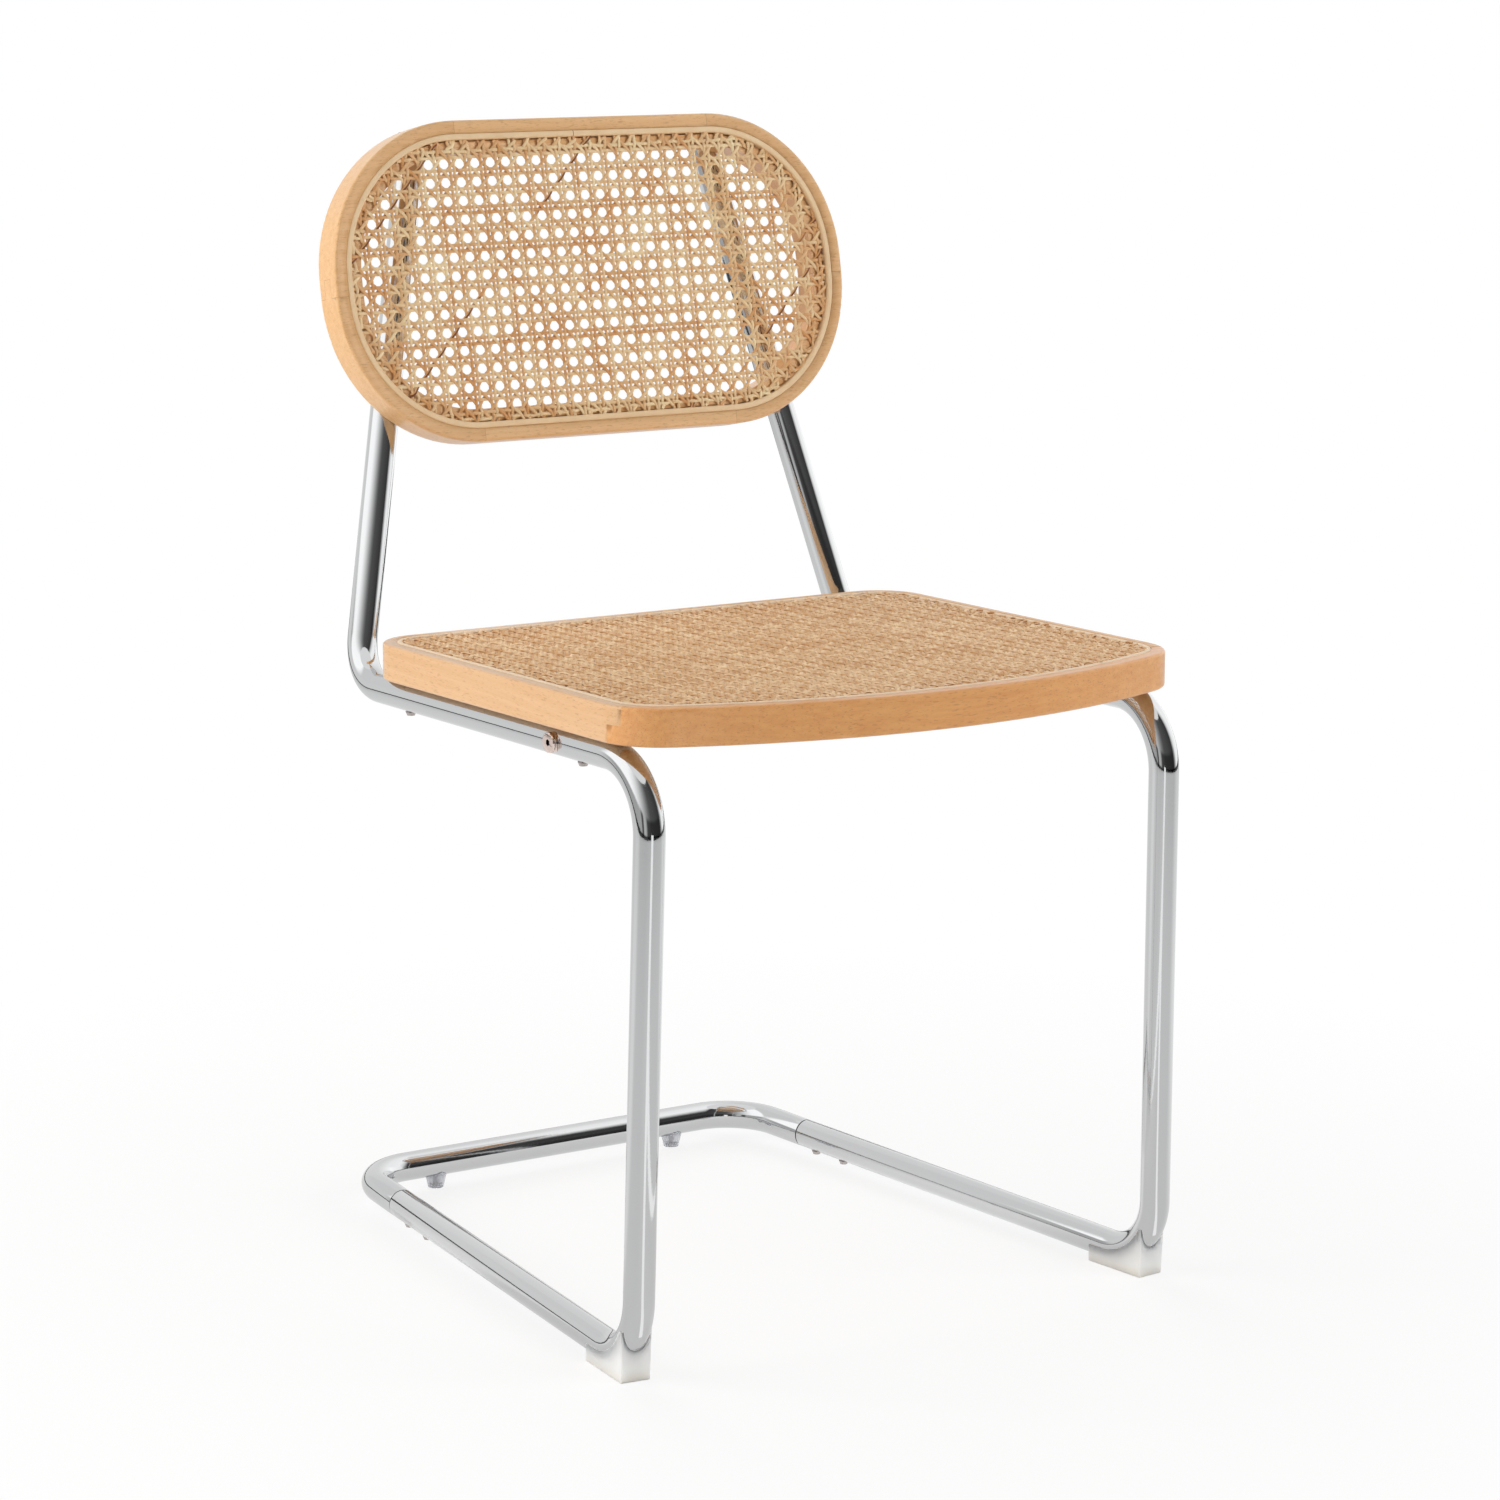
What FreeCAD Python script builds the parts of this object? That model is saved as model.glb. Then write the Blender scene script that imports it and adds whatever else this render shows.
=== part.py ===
import FreeCAD, Part
import Sketcher
import math
import os

# Cantilever dining chair: one line of bent tube with no back legs carries a caned seat and back.
# Millimetres, +Z up. The sitter faces -Y, and left and right are as seen from the front.
# The origin is on the floor, under the middle of the whole chair.

doc = FreeCAD.newDocument("cantilever_chair")
sheet = doc.addObject("Spreadsheet::Sheet", "Sizes")

# Driving dimensions: a name, a plain number and what it measures
SIZES = [
    ("tube_diameter", 22, "outside of the chromed steel tube"),
    ("tube_wall", 1.5, "wall of the tube"),
    ("leg_line_y", -221.2, "where the legs stand, front to back"),
    ("seat_half_width", 236, "middle of the chair to the seat's straight side, which sets all widths"),
    ("rail_inset", 16, "seat's straight side to the seat rail's line"),
    ("foot_splay", 6, "foot corner outside the seat rail's line"),
    ("base_draw_in", 42.5, "rear corner of the base inside the seat rail's line"),
    ("base_depth", 473.3, "legs to the rear tube of the base"),
    ("foot_height", 13.2, "floor to the tube's middle at a foot corner"),
    ("base_rear_height", 20, "floor to the middle of the rear tube"),
    ("rail_front_height", 431.3, "floor to the seat rail's line above the legs"),
    ("rail_run", 397.3, "legs to the foot of the uprights"),
    ("seat_slope", 1.1, "degrees that the seat rails fall towards the back"),
    ("upright_lean", 11.9, "degrees that the uprights lean back"),
    ("upright_converge", 13.1, "degrees that each upright leans inwards"),
    ("upright_length", 409, "seat rail's line to the upright's open end"),
    ("foot_bend", 45, "bend between floor rail and leg, at the tube's middle"),
    ("seat_bend", 50, "bend between leg and seat rail"),
    ("upright_bend", 42, "bend between seat rail and upright"),
    ("base_bend", 45, "bend at a rear corner of the base"),
    ("seat_gap", 0.2, "wooden frame to the round tube that it rests on"),
    ("fit_gap", 0.3, "clearance round a piece that slides into or over another"),
    ("hug_gap", 0.15, "clearance between a saddle and the tube that it hugs"),
    ("seam_from_corner", 81, "rear corner of the base to the seam in the floor rail"),
    ("sleeve_ahead", 58, "sleeve ahead of the seam"),
    ("sleeve_behind", 28, "sleeve behind the seam"),
    ("sleeve_wall", 2.5, "wall of the sleeve"),
    ("near_screw_ahead", 14, "seam to the first sleeve screw"),
    ("far_screw_ahead", 47, "seam to the second sleeve screw"),
    ("sleeve_screw_length", 7, "sleeve screw under its head"),
    ("screw_head_diameter", 8, "pan head"),
    ("screw_head_height", 2.8, "pan head"),
    ("screw_diameter", 4, "shank of the wood and sleeve screws"),
    ("screw_clearance", 0.3, "air round a shank in its hole"),
    ("socket_size", 2.6, "across the corners of a screw's socket"),
    ("socket_depth", 1.6, "depth of a screw's socket"),
    ("front_glide_length", 54.5, "front corner glide along the floor rail"),
    ("front_glide_width", 23.4, "front corner glide across the tube, at its top"),
    ("front_glide_height", 37, "front corner glide up to its two horns"),
    ("front_glide_setback", 2.7, "leg line to the glide's upright front face"),
    ("front_glide_draft", 1, "degrees that its sides draw in towards the floor"),
    ("front_glide_round", 1.2, "small rounds on its edges"),
    ("glide_peg_diameter", 6, "moulded peg that plugs the glide into the tube"),
    ("glide_peg_reach", 2, "peg above the inside of the tube"),
    ("glide_peg_back", 49, "foot corner to the peg"),
    ("rear_glide_inset", 67.9, "rear corner of the base to a rear glide"),
    ("rear_glide_top", 19, "rear glide where it hugs the tube"),
    ("rear_glide_bottom", 12, "rear glide on the floor"),
    ("rear_glide_height", 15, "rear glide up to its saddle horns"),
    ("glide_screw_head", 6.4, "head of the screw inside the rear glide"),
    ("glide_screw_sink", 3.6, "floor to the ledge inside the rear glide that its screw pulls on"),
    ("glide_screw_rise", 2, "height of that head"),
    ("glide_screw_diameter", 3.2, "shank of the rear glide's screw"),
    ("glide_screw_length", 8, "rear glide's screw above its head"),
    ("seat_front_reach", 49.5, "leg line to the middle of the bowed front edge"),
    ("seat_rear_reach", 360, "leg line to the seat's straight rear edge"),
    ("seat_front_radius", 521, "bow of the front edge"),
    ("seat_front_corner", 50, "front corners, seen from above"),
    ("seat_rear_corner", 38, "rear corners, seen from above"),
    ("seat_thickness", 26.8, "seat frame"),
    ("seat_rail_width", 33, "outer edge to the opening under the cane"),
    ("seat_opening_corner", 16, "corners of that opening"),
    ("seat_front_joint", 19, "leg line to the front corner lap joint"),
    ("seat_rear_joint", 168, "middle of the seat to a lap joint in the rear edge"),
    ("seat_lap", 12, "overlap of a lap joint"),
    ("edge_round", 2.2, "eased edges of the wooden frames"),
    ("band_width", 9.8, "flat wooden band outside the spline"),
    ("groove_width", 5.8, "groove that holds the cane and the spline"),
    ("groove_depth", 8, "groove under the face"),
    ("seat_cane_recess", 2.2, "face to the ledge that carries the seat's cane"),
    ("back_cane_recess", 4.4, "face to the ledge that carries the backrest's cane"),
    ("cane_thickness", 2.2, "woven cane"),
    ("cane_edge", 0.7, "cane folded down into the groove"),
    ("cane_edge_reach", 7.5, "face to the lower end of the folded cane"),
    ("spline_width", 4.7, "round-topped reed spline"),
    ("spline_drop", 7.5, "face to the underside of the spline"),
    ("spline_proud", 0.5, "spline above the face"),
    ("spline_round", 1.6, "rounded top of the spline"),
    ("groove_gap", 0.15, "clearance beside the spline"),
    ("seat_net_pitch", 30, "gap to gap in the seat's cane"),
    ("seat_net_gap", 15, "width of a gap in the seat's cane"),
    ("back_overhang", 4.6, "backrest's end outside the seat rail's line"),
    ("back_half_height", 119.3, "middle of the backrest to its long edge"),
    ("back_corner", 112.6, "radius of the backrest's ends"),
    ("back_thickness", 26, "backrest frame"),
    ("back_rail_width", 24.5, "outer edge to the opening behind the cane"),
    ("back_centre_up", 286.5, "seat rail's line to the backrest's middle, up the lean"),
    ("back_finger", 14, "length of the finger joints at the backrest's ends"),
    ("back_net_pitch", 16.6, "gap to gap in the backrest's cane"),
    ("back_net_gap", 9, "width of a gap in the backrest's cane"),
    ("front_seat_screw", 85, "leg line to the front seat screw"),
    ("rear_seat_screw", 320, "leg line to the rear seat screw"),
    ("seat_screw_bite", 14, "seat screw in the wood"),
    ("lower_back_screw", 205, "seat rail's line to the lower backrest screw, up the tube"),
    ("upper_back_screw", 399, "seat rail's line to the upper backrest screw, up the tube"),
    ("back_screw_bite", 13, "backrest screw in the wood"),
    ("stretcher_back", 108, "leg line to the stretcher under the seat"),
    ("stretcher_diameter", 16, "stretcher tube"),
    ("insert_length", 18, "threaded insert in each end of the stretcher"),
    ("bolt_diameter", 6, "stretcher bolt"),
    ("bolt_bite", 13, "stretcher bolt in its insert"),
    ("bolt_head_diameter", 14.5, "flat disc head of the stretcher bolt"),
    ("bolt_head_height", 2.2, "flat disc head"),
    ("bolt_socket_size", 5, "across the corners of the bolt's socket"),
    ("saddle_rise", 1.2, "saddle washer outside the tube"),
    ("saddle_grip", 2.6, "saddle washer down the side of the tube"),
    ("plug_cap", 2.4, "cap of the upright's end plug"),
    ("plug_spigot", 6, "plug inside the upright"),
    ("plug_round", 1.2, "round on the plug's cap"),
]
for row, (alias, number, meaning) in enumerate(SIZES, start=1):
    sheet.set(f"A{row}", meaning)
    sheet.set(f"B{row}", str(number))
    sheet.setAlias(f"B{row}", alias)
doc.recompute()

X_AXIS = FreeCAD.Vector(1, 0, 0)
Z_AXIS = FreeCAD.Vector(0, 0, 1)
finished = []


def size(name):
    """The number that the sheet holds under an alias."""
    return float(sheet.get(name))


def bind(item, **sizes):
    """Tie properties to expressions on the sheet; a double underscore stands for a dot."""
    for name, expression in sizes.items():
        item.setExpression(name.replace("__", "."), expression)
    return item


def facing(point, direction):
    """A placement at a point whose Z runs along a direction."""
    return FreeCAD.Placement(point, FreeCAD.Rotation(Z_AXIS, direction))


def finish(piece, label):
    """Name a finished piece and put it on the list that is written out."""
    piece.Label = label
    finished.append(piece)
    return piece


def cylinder(name, radius, height, placement):
    rod = bind(doc.addObject("Part::Cylinder", name), Radius=radius, Height=height)
    rod.Placement = placement
    return rod


def cut(name, base, *tools):
    """A piece less its tools, which don't touch each other."""
    tool = tools[0] if len(tools) == 1 else compound(name + "_tools", tools)
    result = doc.addObject("Part::Cut", name)
    result.Base, result.Tool = base, tool
    return result


def fuse(name, *pieces):
    result = doc.addObject("Part::MultiFuse", name)
    result.Shapes = list(pieces)
    return result


def compound(name, pieces):
    result = doc.addObject("Part::Compound", name)
    result.Links = list(pieces)
    return result


def mirrored(source, name):
    """The same piece on the other side of the chair."""
    copy = doc.addObject("Part::Mirroring", name)
    copy.Source, copy.Normal = source, X_AXIS
    return copy


# Line of the tube: corner points, then straight runs joined by tangent bends
seat_slope = math.radians(size("seat_slope"))
lean = math.radians(size("upright_lean"))
converge = math.radians(size("upright_converge"))
leg_y = size("leg_line_y")
rail_span = size("seat_half_width") - size("rail_inset")
foot = FreeCAD.Vector(-rail_span - size("foot_splay"), leg_y, size("foot_height"))
base_corner = FreeCAD.Vector(-rail_span + size("base_draw_in"), leg_y + size("base_depth"),
                             size("base_rear_height"))
leg_top = FreeCAD.Vector(-rail_span, leg_y, size("rail_front_height"))
rail_along = FreeCAD.Vector(0, math.cos(seat_slope), -math.sin(seat_slope))
rail_normal = FreeCAD.Vector(0, math.sin(seat_slope), math.cos(seat_slope))
rail_rear = leg_top + rail_along * (size("rail_run") / math.cos(seat_slope))
lean_up = FreeCAD.Vector(0, math.sin(lean), math.cos(lean))
back_normal = FreeCAD.Vector(0, -math.cos(lean), math.sin(lean))
upright_along = X_AXIS * math.sin(converge) + lean_up * math.cos(converge)
upright_end = rail_rear + upright_along * size("upright_length")
floor_along = (base_corner - foot).normalize()
floor_down = floor_along.cross(Z_AXIS).cross(floor_along).normalize() * -1
seam = base_corner - floor_along * size("seam_from_corner")


def across(point):
    """The same point on the right-hand side."""
    return FreeCAD.Vector(-point.x, point.y, point.z)


def bent_line(name, corners, bends):
    """Straight runs through the corners, rounded by one tangent arc at each inner corner."""
    edges = []
    start = corners[0]
    for before, corner, after, bend in zip(corners, corners[1:], corners[2:], bends):
        back = (before - corner).normalize()
        ahead = (after - corner).normalize()
        half_angle = back.getAngle(ahead) / 2
        reach = bend / math.tan(half_angle)
        inward = (back + ahead).normalize()
        middle = corner + inward * (bend / math.sin(half_angle) - bend)
        arc_start = corner + back * reach
        arc_end = corner + ahead * reach
        edges.append(Part.LineSegment(start, arc_start).toShape())
        edges.append(Part.Arc(arc_start, middle, arc_end).toShape())
        start = arc_end
    edges.append(Part.LineSegment(start, corners[-1]).toShape())
    line = doc.addObject("Part::Feature", name)
    line.Shape = Part.Wire(edges)
    return line


def round_sweep(name, line, radius):
    """A solid of round section along a bent line."""
    first = line.Shape.Edges[0]
    begin = first.valueAt(first.FirstParameter)
    section = bind(doc.addObject("Part::Circle", name + "_section"), Radius=radius)
    section.Placement = facing(begin, first.tangentAt(first.FirstParameter))
    sweep = doc.addObject("Part::Sweep", name)
    sweep.Sections = [section]
    sweep.Spine = (line, [f"Edge{index + 1}" for index in range(len(line.Shape.Edges))])
    sweep.Solid = True
    return sweep


def bent_tube(name, line, holes):
    """A hollow tube along a bent line, drilled by the given rods."""
    outside = round_sweep(name + "_outside", line, "Sizes.tube_diameter / 2")
    inside = round_sweep(name + "_inside", line, "Sizes.tube_diameter / 2 - Sizes.tube_wall")
    return cut(name, cut(name + "_shell", outside, inside), *holes)


def screw(name, seat, direction, length, head="Sizes.screw_head_diameter", rise="Sizes.screw_head_height",
          shank="Sizes.screw_diameter", socket="Sizes.socket_size", head_tip=0.72):
    """A headed screw: its shank runs along the direction from the seat, its head stands behind."""
    shaft = cylinder(name + "_shank", f"{shank} / 2", length, facing(seat, direction))
    dome = doc.addObject("Part::Cone", name + "_head")
    bind(dome, Radius1=f"{head} / 2", Radius2=f"{head} / 2 * {head_tip}", Height=rise)
    dome.Placement = facing(seat, direction * -1)
    drive = bind(doc.addObject("Part::Prism", name + "_socket"), Circumradius=f"{socket} / 2",
                 Height="Sizes.socket_depth")
    head_top = seat - direction * (dome.Height.Value - size("socket_depth"))
    drive.Placement = facing(head_top, direction * -1)
    return cut(name, fuse(name + "_blank", shaft, dome), drive)


def hole(name, seat, direction, depth, shank="Sizes.screw_diameter"):
    """A clearance hole for a screw, from its seat along its direction."""
    return cylinder(name, f"{shank} / 2 + Sizes.screw_clearance", depth, facing(seat, direction))


# Where the fasteners of the left side sit on the tube
tube_radius = size("tube_diameter") / 2
sleeve_screw_seats = [seam - floor_along * size(name) + floor_down * tube_radius
                      for name in ("near_screw_ahead", "far_screw_ahead")]
seat_screw_seats = [leg_top + rail_along * size(name) - rail_normal * tube_radius
                    for name in ("front_seat_screw", "rear_seat_screw")]
back_screw_seats = [rail_rear + upright_along * size(name) - back_normal * tube_radius
                    for name in ("lower_back_screw", "upper_back_screw")]
stretcher_end = leg_top + rail_along * size("stretcher_back")
peg_foot = FreeCAD.Vector(foot.x, foot.y, 0) + floor_along * size("glide_peg_back")
peg_foot.z = size("front_glide_round")
rear_glide_foot = FreeCAD.Vector(base_corner.x + size("rear_glide_inset"), base_corner.y, 0)

# Side tubes: floor rail, leg, seat rail and upright in one bent length, the left one and its mirror
side_line = bent_line("side_line", [seam, foot, leg_top, rail_rear, upright_end],
                      [size("foot_bend"), size("seat_bend"), size("upright_bend")])
side_holes = [hole(f"sleeve_screw_hole_{i}", seat, floor_down * -1, "Sizes.tube_diameter / 2")
              for i, seat in enumerate(sleeve_screw_seats)]
side_holes += [hole(f"seat_screw_hole_{i}", seat, rail_normal, "Sizes.tube_diameter")
               for i, seat in enumerate(seat_screw_seats)]
side_holes += [hole(f"back_screw_hole_{i}", seat, back_normal, "Sizes.tube_diameter")
               for i, seat in enumerate(back_screw_seats)]
side_holes.append(hole("stretcher_bolt_hole", stretcher_end - X_AXIS * tube_radius, X_AXIS,
                       "Sizes.tube_diameter", "Sizes.bolt_diameter"))
side_holes.append(hole("glide_peg_hole", peg_foot, Z_AXIS, "Sizes.tube_diameter / 2",
                       "Sizes.glide_peg_diameter"))
side_tube = finish(bent_tube("side_tube", side_line, side_holes), "side_tube_left")
finish(mirrored(side_tube, "side_tube_mirror"), "side_tube_right")

# Rear tube of the base: a wide U whose ends meet the side tubes at the two seams
rear_line = bent_line("rear_line", [seam, base_corner, across(base_corner), across(seam)],
                      [size("base_bend"), size("base_bend")])
rear_holes = [hole(f"rear_glide_hole_{side}", foot_point, Z_AXIS, "Sizes.base_rear_height",
                   "Sizes.glide_screw_diameter")
              for side, foot_point in (("left", rear_glide_foot), ("right", across(rear_glide_foot)))]
finish(bent_tube("rear_tube", rear_line, rear_holes), "rear_base_tube")

# Sleeves inside the seams, each held by two screws from below
sleeve_radius = "Sizes.tube_diameter / 2 - Sizes.tube_wall - Sizes.fit_gap"
sleeve_length = "Sizes.sleeve_ahead + Sizes.sleeve_behind"
sleeve_place = facing(seam - floor_along * size("sleeve_ahead"), floor_along)
sleeve_rod = cylinder("sleeve_rod", sleeve_radius, sleeve_length, sleeve_place)
sleeve_bore = cylinder("sleeve_bore", f"{sleeve_radius} - Sizes.sleeve_wall", sleeve_length, sleeve_place)
sleeve_shell = cut("sleeve_shell", sleeve_rod, sleeve_bore)
sleeve_taps = [hole(f"sleeve_tap_{i}", seat, floor_down * -1, "Sizes.tube_diameter / 2")
               for i, seat in enumerate(sleeve_screw_seats)]
sleeve = finish(cut("sleeve", sleeve_shell, *sleeve_taps), "base_joint_sleeve_left")
finish(mirrored(sleeve, "sleeve_mirror"), "base_joint_sleeve_right")


def both_sides(name, pieces, label):
    """Left-hand fasteners and their mirror copies as one group of separate solids."""
    left = compound(name + "_left", pieces)
    finish(compound(name, [left, mirrored(left, name + "_right")]), label)


both_sides("sleeve_screws", [screw(f"sleeve_screw_{i}", seat, floor_down * -1, "Sizes.sleeve_screw_length")
                             for i, seat in enumerate(sleeve_screw_seats)], "base_joint_screws")


def origin_plane(body, role):
    return next(item for item in body.Origin.OriginFeatures if item.Role == role)


def body_sketch(body, name, role="XY_Plane", **offset):
    """A sketch on one of a body's own planes, lifted off it by bound offsets."""
    sketch = body.newObject("Sketcher::SketchObject", name)
    sketch.AttachmentSupport = (origin_plane(body, role), [""])
    sketch.MapMode = "FlatFace"
    return bind(sketch, **offset)


def value(item, expression):
    """What an expression on the sheet comes to now."""
    return float(item.evalExpression(expression))


def constrain(sketch, kind, *where, by=None):
    """Add a constraint, bound to the sheet where it has a size."""
    if by is None:
        sketch.addConstraint(Sketcher.Constraint(kind, *where))
        return
    index = sketch.addConstraint(Sketcher.Constraint(kind, *where, value(sketch, by)))
    sketch.setExpression(f"Constraints[{index}]", by)


def add_line(sketch, begin, end):
    sketch.addGeometry(Part.LineSegment(FreeCAD.Vector(*begin), FreeCAD.Vector(*end)), False)


def add_arc(sketch, centre, radius, begin, end):
    """An arc between two angles in degrees, anticlockwise."""
    circle = Part.Circle(FreeCAD.Vector(*centre), Z_AXIS, radius)
    sketch.addGeometry(Part.ArcOfCircle(circle, math.radians(begin), math.radians(end)), False)


def join(sketch, first, count, kind="Tangent"):
    """Join a closed run of lines and arcs end to end."""
    for step in range(count):
        constrain(sketch, kind, first + step, 2, first + (step + 1) % count, 1)


def sides_at(sketch, right, left, high, low):
    """Hold four edges at their distances from the origin; each is (geometry, expression)."""
    constrain(sketch, "DistanceX", -1, 1, right[0], 1, by=right[1])
    constrain(sketch, "DistanceX", left[0], 1, -1, 1, by=left[1])
    constrain(sketch, "DistanceY", -1, 1, high[0], 1, by=high[1])
    if low:
        constrain(sketch, "DistanceY", low[0], 1, -1, 1, by=low[1])


def pad(body, name, sketch, length, **extra):
    feature = body.newObject("PartDesign::Pad", name)
    feature.Profile = sketch
    bind(feature, Length=length, **extra)
    doc.recompute()
    return feature


def pocket(body, name, sketch, depth=None, both_ways=False):
    """Cut a sketch into a body, right through unless a depth is given, and see that it bites."""
    volume_before = body.Shape.Volume
    feature = body.newObject("PartDesign::Pocket", name)
    feature.Profile = sketch
    if both_ways:
        feature.SideType = "Symmetric"
    if depth is None:
        feature.Type = "ThroughAll"
    else:
        bind(feature, Length=depth)
    doc.recompute()
    if not body.Shape.Volume < volume_before:
        raise RuntimeError(f"{name} cuts nothing")
    return feature


def round_edges(body, name, base, chosen, radius):
    """Fillet the edges of a feature that a test picks out."""
    edges = [f"Edge{i + 1}" for i, edge in enumerate(base.Shape.Edges) if chosen(edge.BoundBox)]
    feature = body.newObject("PartDesign::Fillet", name)
    feature.Base = (base, edges)
    bind(feature, Radius=radius)
    doc.recompute()
    return feature


# Front corner glides: a tapered block under the foot bend, its top along the tube's middle line
block = doc.addObject("PartDesign::Body", "front_glide_block")
glide_half = "Sizes.front_glide_width / 2 - Sizes.foot_height * tan(Sizes.front_glide_draft * 1deg)"
glide_back = "Sizes.front_glide_setback + Sizes.front_glide_length"
plan = body_sketch(block, "glide_plan")
half, front, back = (value(plan, text) for text in (glide_half, "Sizes.front_glide_setback", glide_back))
for begin, end in (((half, front), (half, back)), ((half, back), (-half, back)),
                   ((-half, back), (-half, front)), ((-half, front), (half, front))):
    add_line(plan, begin, end)
join(plan, 0, 4, "Coincident")
for side, direction in enumerate(("Vertical", "Horizontal", "Vertical", "Horizontal")):
    constrain(plan, direction, side)
sides_at(plan, (0, glide_half), (2, glide_half), (1, glide_back), None)
constrain(plan, "DistanceY", -1, 1, 3, 1, by="Sizes.front_glide_setback")
blank = pad(block, "glide_pad", plan, "Sizes.front_glide_height", TaperAngle="Sizes.front_glide_draft")
round_edges(block, "glide_rounds", blank,
            lambda box: box.ZMax < 0.01 or box.ZLength > size("foot_height"), "Sizes.front_glide_round")

profile = body_sketch(block, "glide_profile", "YZ_Plane")
bend, low = size("foot_bend"), size("foot_height")
beyond, above = back + size("front_glide_round"), low + bend + size("tube_diameter")
add_arc(profile, (bend, low + bend), bend, 180, 270)
for begin, end in (((bend, low), (beyond, low)), ((beyond, low), (beyond, above)),
                   ((beyond, above), (0, above)), ((0, above), (0, low + bend))):
    add_line(profile, begin, end)
join(profile, 0, 5, "Coincident")
for side, direction in enumerate(("Horizontal", "Vertical", "Horizontal", "Vertical"), start=1):
    constrain(profile, direction, side)
constrain(profile, "Radius", 0, by="Sizes.foot_bend")
constrain(profile, "DistanceX", -1, 1, 0, 3, by="Sizes.foot_bend")
constrain(profile, "DistanceY", -1, 1, 0, 3, by="Sizes.foot_height + Sizes.foot_bend")
constrain(profile, "Horizontal", 0, 1, 0, 3)
constrain(profile, "Vertical", 0, 2, 0, 3)
constrain(profile, "DistanceX", -1, 1, 2, 1, by=f"{glide_back} + Sizes.front_glide_round")
constrain(profile, "DistanceY", -1, 1, 3, 1,
          by="Sizes.foot_height + Sizes.foot_bend + Sizes.tube_diameter")
pocket(block, "glide_top_cut", profile, both_ways=True)
block.Placement = FreeCAD.Placement(FreeCAD.Vector(foot.x, foot.y, 0),
                                    FreeCAD.Rotation(FreeCAD.Vector(0, 1, 0),
                                                     FreeCAD.Vector(floor_along.x, floor_along.y, 0)))
saddle = round_sweep("glide_saddle", side_line, "Sizes.tube_diameter / 2 + Sizes.hug_gap")
peg = cylinder("glide_peg", "Sizes.glide_peg_diameter / 2", "Sizes.foot_height - Sizes.tube_diameter / 2"
               " + Sizes.tube_wall + Sizes.glide_peg_reach", facing(peg_foot, Z_AXIS))
front_glide = finish(fuse("front_glide", cut("front_glide_hollow", block, saddle), peg),
                     "front_glide_left")
finish(mirrored(front_glide, "front_glide_mirror"), "front_glide_right")

# Rear glides: clear cups that hug the rear tube, each with its screw inside
cup = bind(doc.addObject("Part::Cone", "rear_glide_cone"), Radius1="Sizes.rear_glide_bottom / 2",
           Radius2="Sizes.rear_glide_top / 2", Height="Sizes.rear_glide_height")
cup.Placement = facing(rear_glide_foot, Z_AXIS)
saddle_rod = cylinder("rear_saddle", "Sizes.tube_diameter / 2 + Sizes.hug_gap", "2 * Sizes.rear_glide_top",
                      facing(FreeCAD.Vector(rear_glide_foot.x - size("rear_glide_top"), base_corner.y,
                                            base_corner.z), X_AXIS))
recess = cylinder("rear_recess", "Sizes.glide_screw_head / 2 + Sizes.screw_clearance",
                  "Sizes.glide_screw_sink", facing(rear_glide_foot, Z_AXIS))
bore = hole("rear_bore", rear_glide_foot, Z_AXIS, "Sizes.rear_glide_height", "Sizes.glide_screw_diameter")
saddled = cut("rear_glide_saddled", cup, saddle_rod)
rear_glide = finish(cut("rear_glide", cut("rear_glide_recessed", saddled, recess), bore),
                    "rear_glide_left")
finish(mirrored(rear_glide, "rear_glide_mirror"), "rear_glide_right")
glide_screw_seat = rear_glide_foot + Z_AXIS * size("glide_screw_sink")
both_sides("glide_screws", [screw("glide_screw", glide_screw_seat, Z_AXIS, "Sizes.glide_screw_length",
                                  head="Sizes.glide_screw_head", rise="Sizes.glide_screw_rise",
                                  shank="Sizes.glide_screw_diameter")], "rear_glide_screws")


# Wooden frames: an outline, a routed groove, a ledge for the cane and an opening
BACK_HALF_LENGTH = "(Sizes.seat_half_width - Sizes.rail_inset + Sizes.back_overhang)"


def draw_back_outline(sketch, inset="0", corner="Sizes.back_corner - ({inset})"):
    """The backrest's outline drawn in by an inset: four lines and four quarter arcs."""
    length, height = f"{BACK_HALF_LENGTH} - ({inset})", f"Sizes.back_half_height - ({inset})"
    radius = corner.format(inset=inset)
    x, y, r = (value(sketch, text) for text in (length, height, radius))
    first = sketch.GeometryCount
    centres = [(x - r, r - y), (x - r, y - r), (r - x, y - r), (r - x, r - y)]
    for turn, centre in enumerate(centres):
        angle = 90 * turn
        after = centres[(turn + 1) % 4]
        out = (r * round(math.cos(math.radians(angle))), r * round(math.sin(math.radians(angle))))
        add_arc(sketch, centre, r, angle - 90, angle)
        add_line(sketch, (centre[0] + out[0], centre[1] + out[1]), (after[0] + out[0], after[1] + out[1]))
    join(sketch, first, 8)
    for side, direction in enumerate(("Vertical", "Horizontal", "Vertical", "Horizontal")):
        constrain(sketch, direction, first + 2 * side + 1)
    for turn in (1, 2, 3):
        constrain(sketch, "Equal", first, first + 2 * turn)
    constrain(sketch, "Radius", first, by=radius)
    sides_at(sketch, (first + 1, length), (first + 5, length), (first + 3, height), (first + 7, height))


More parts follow.
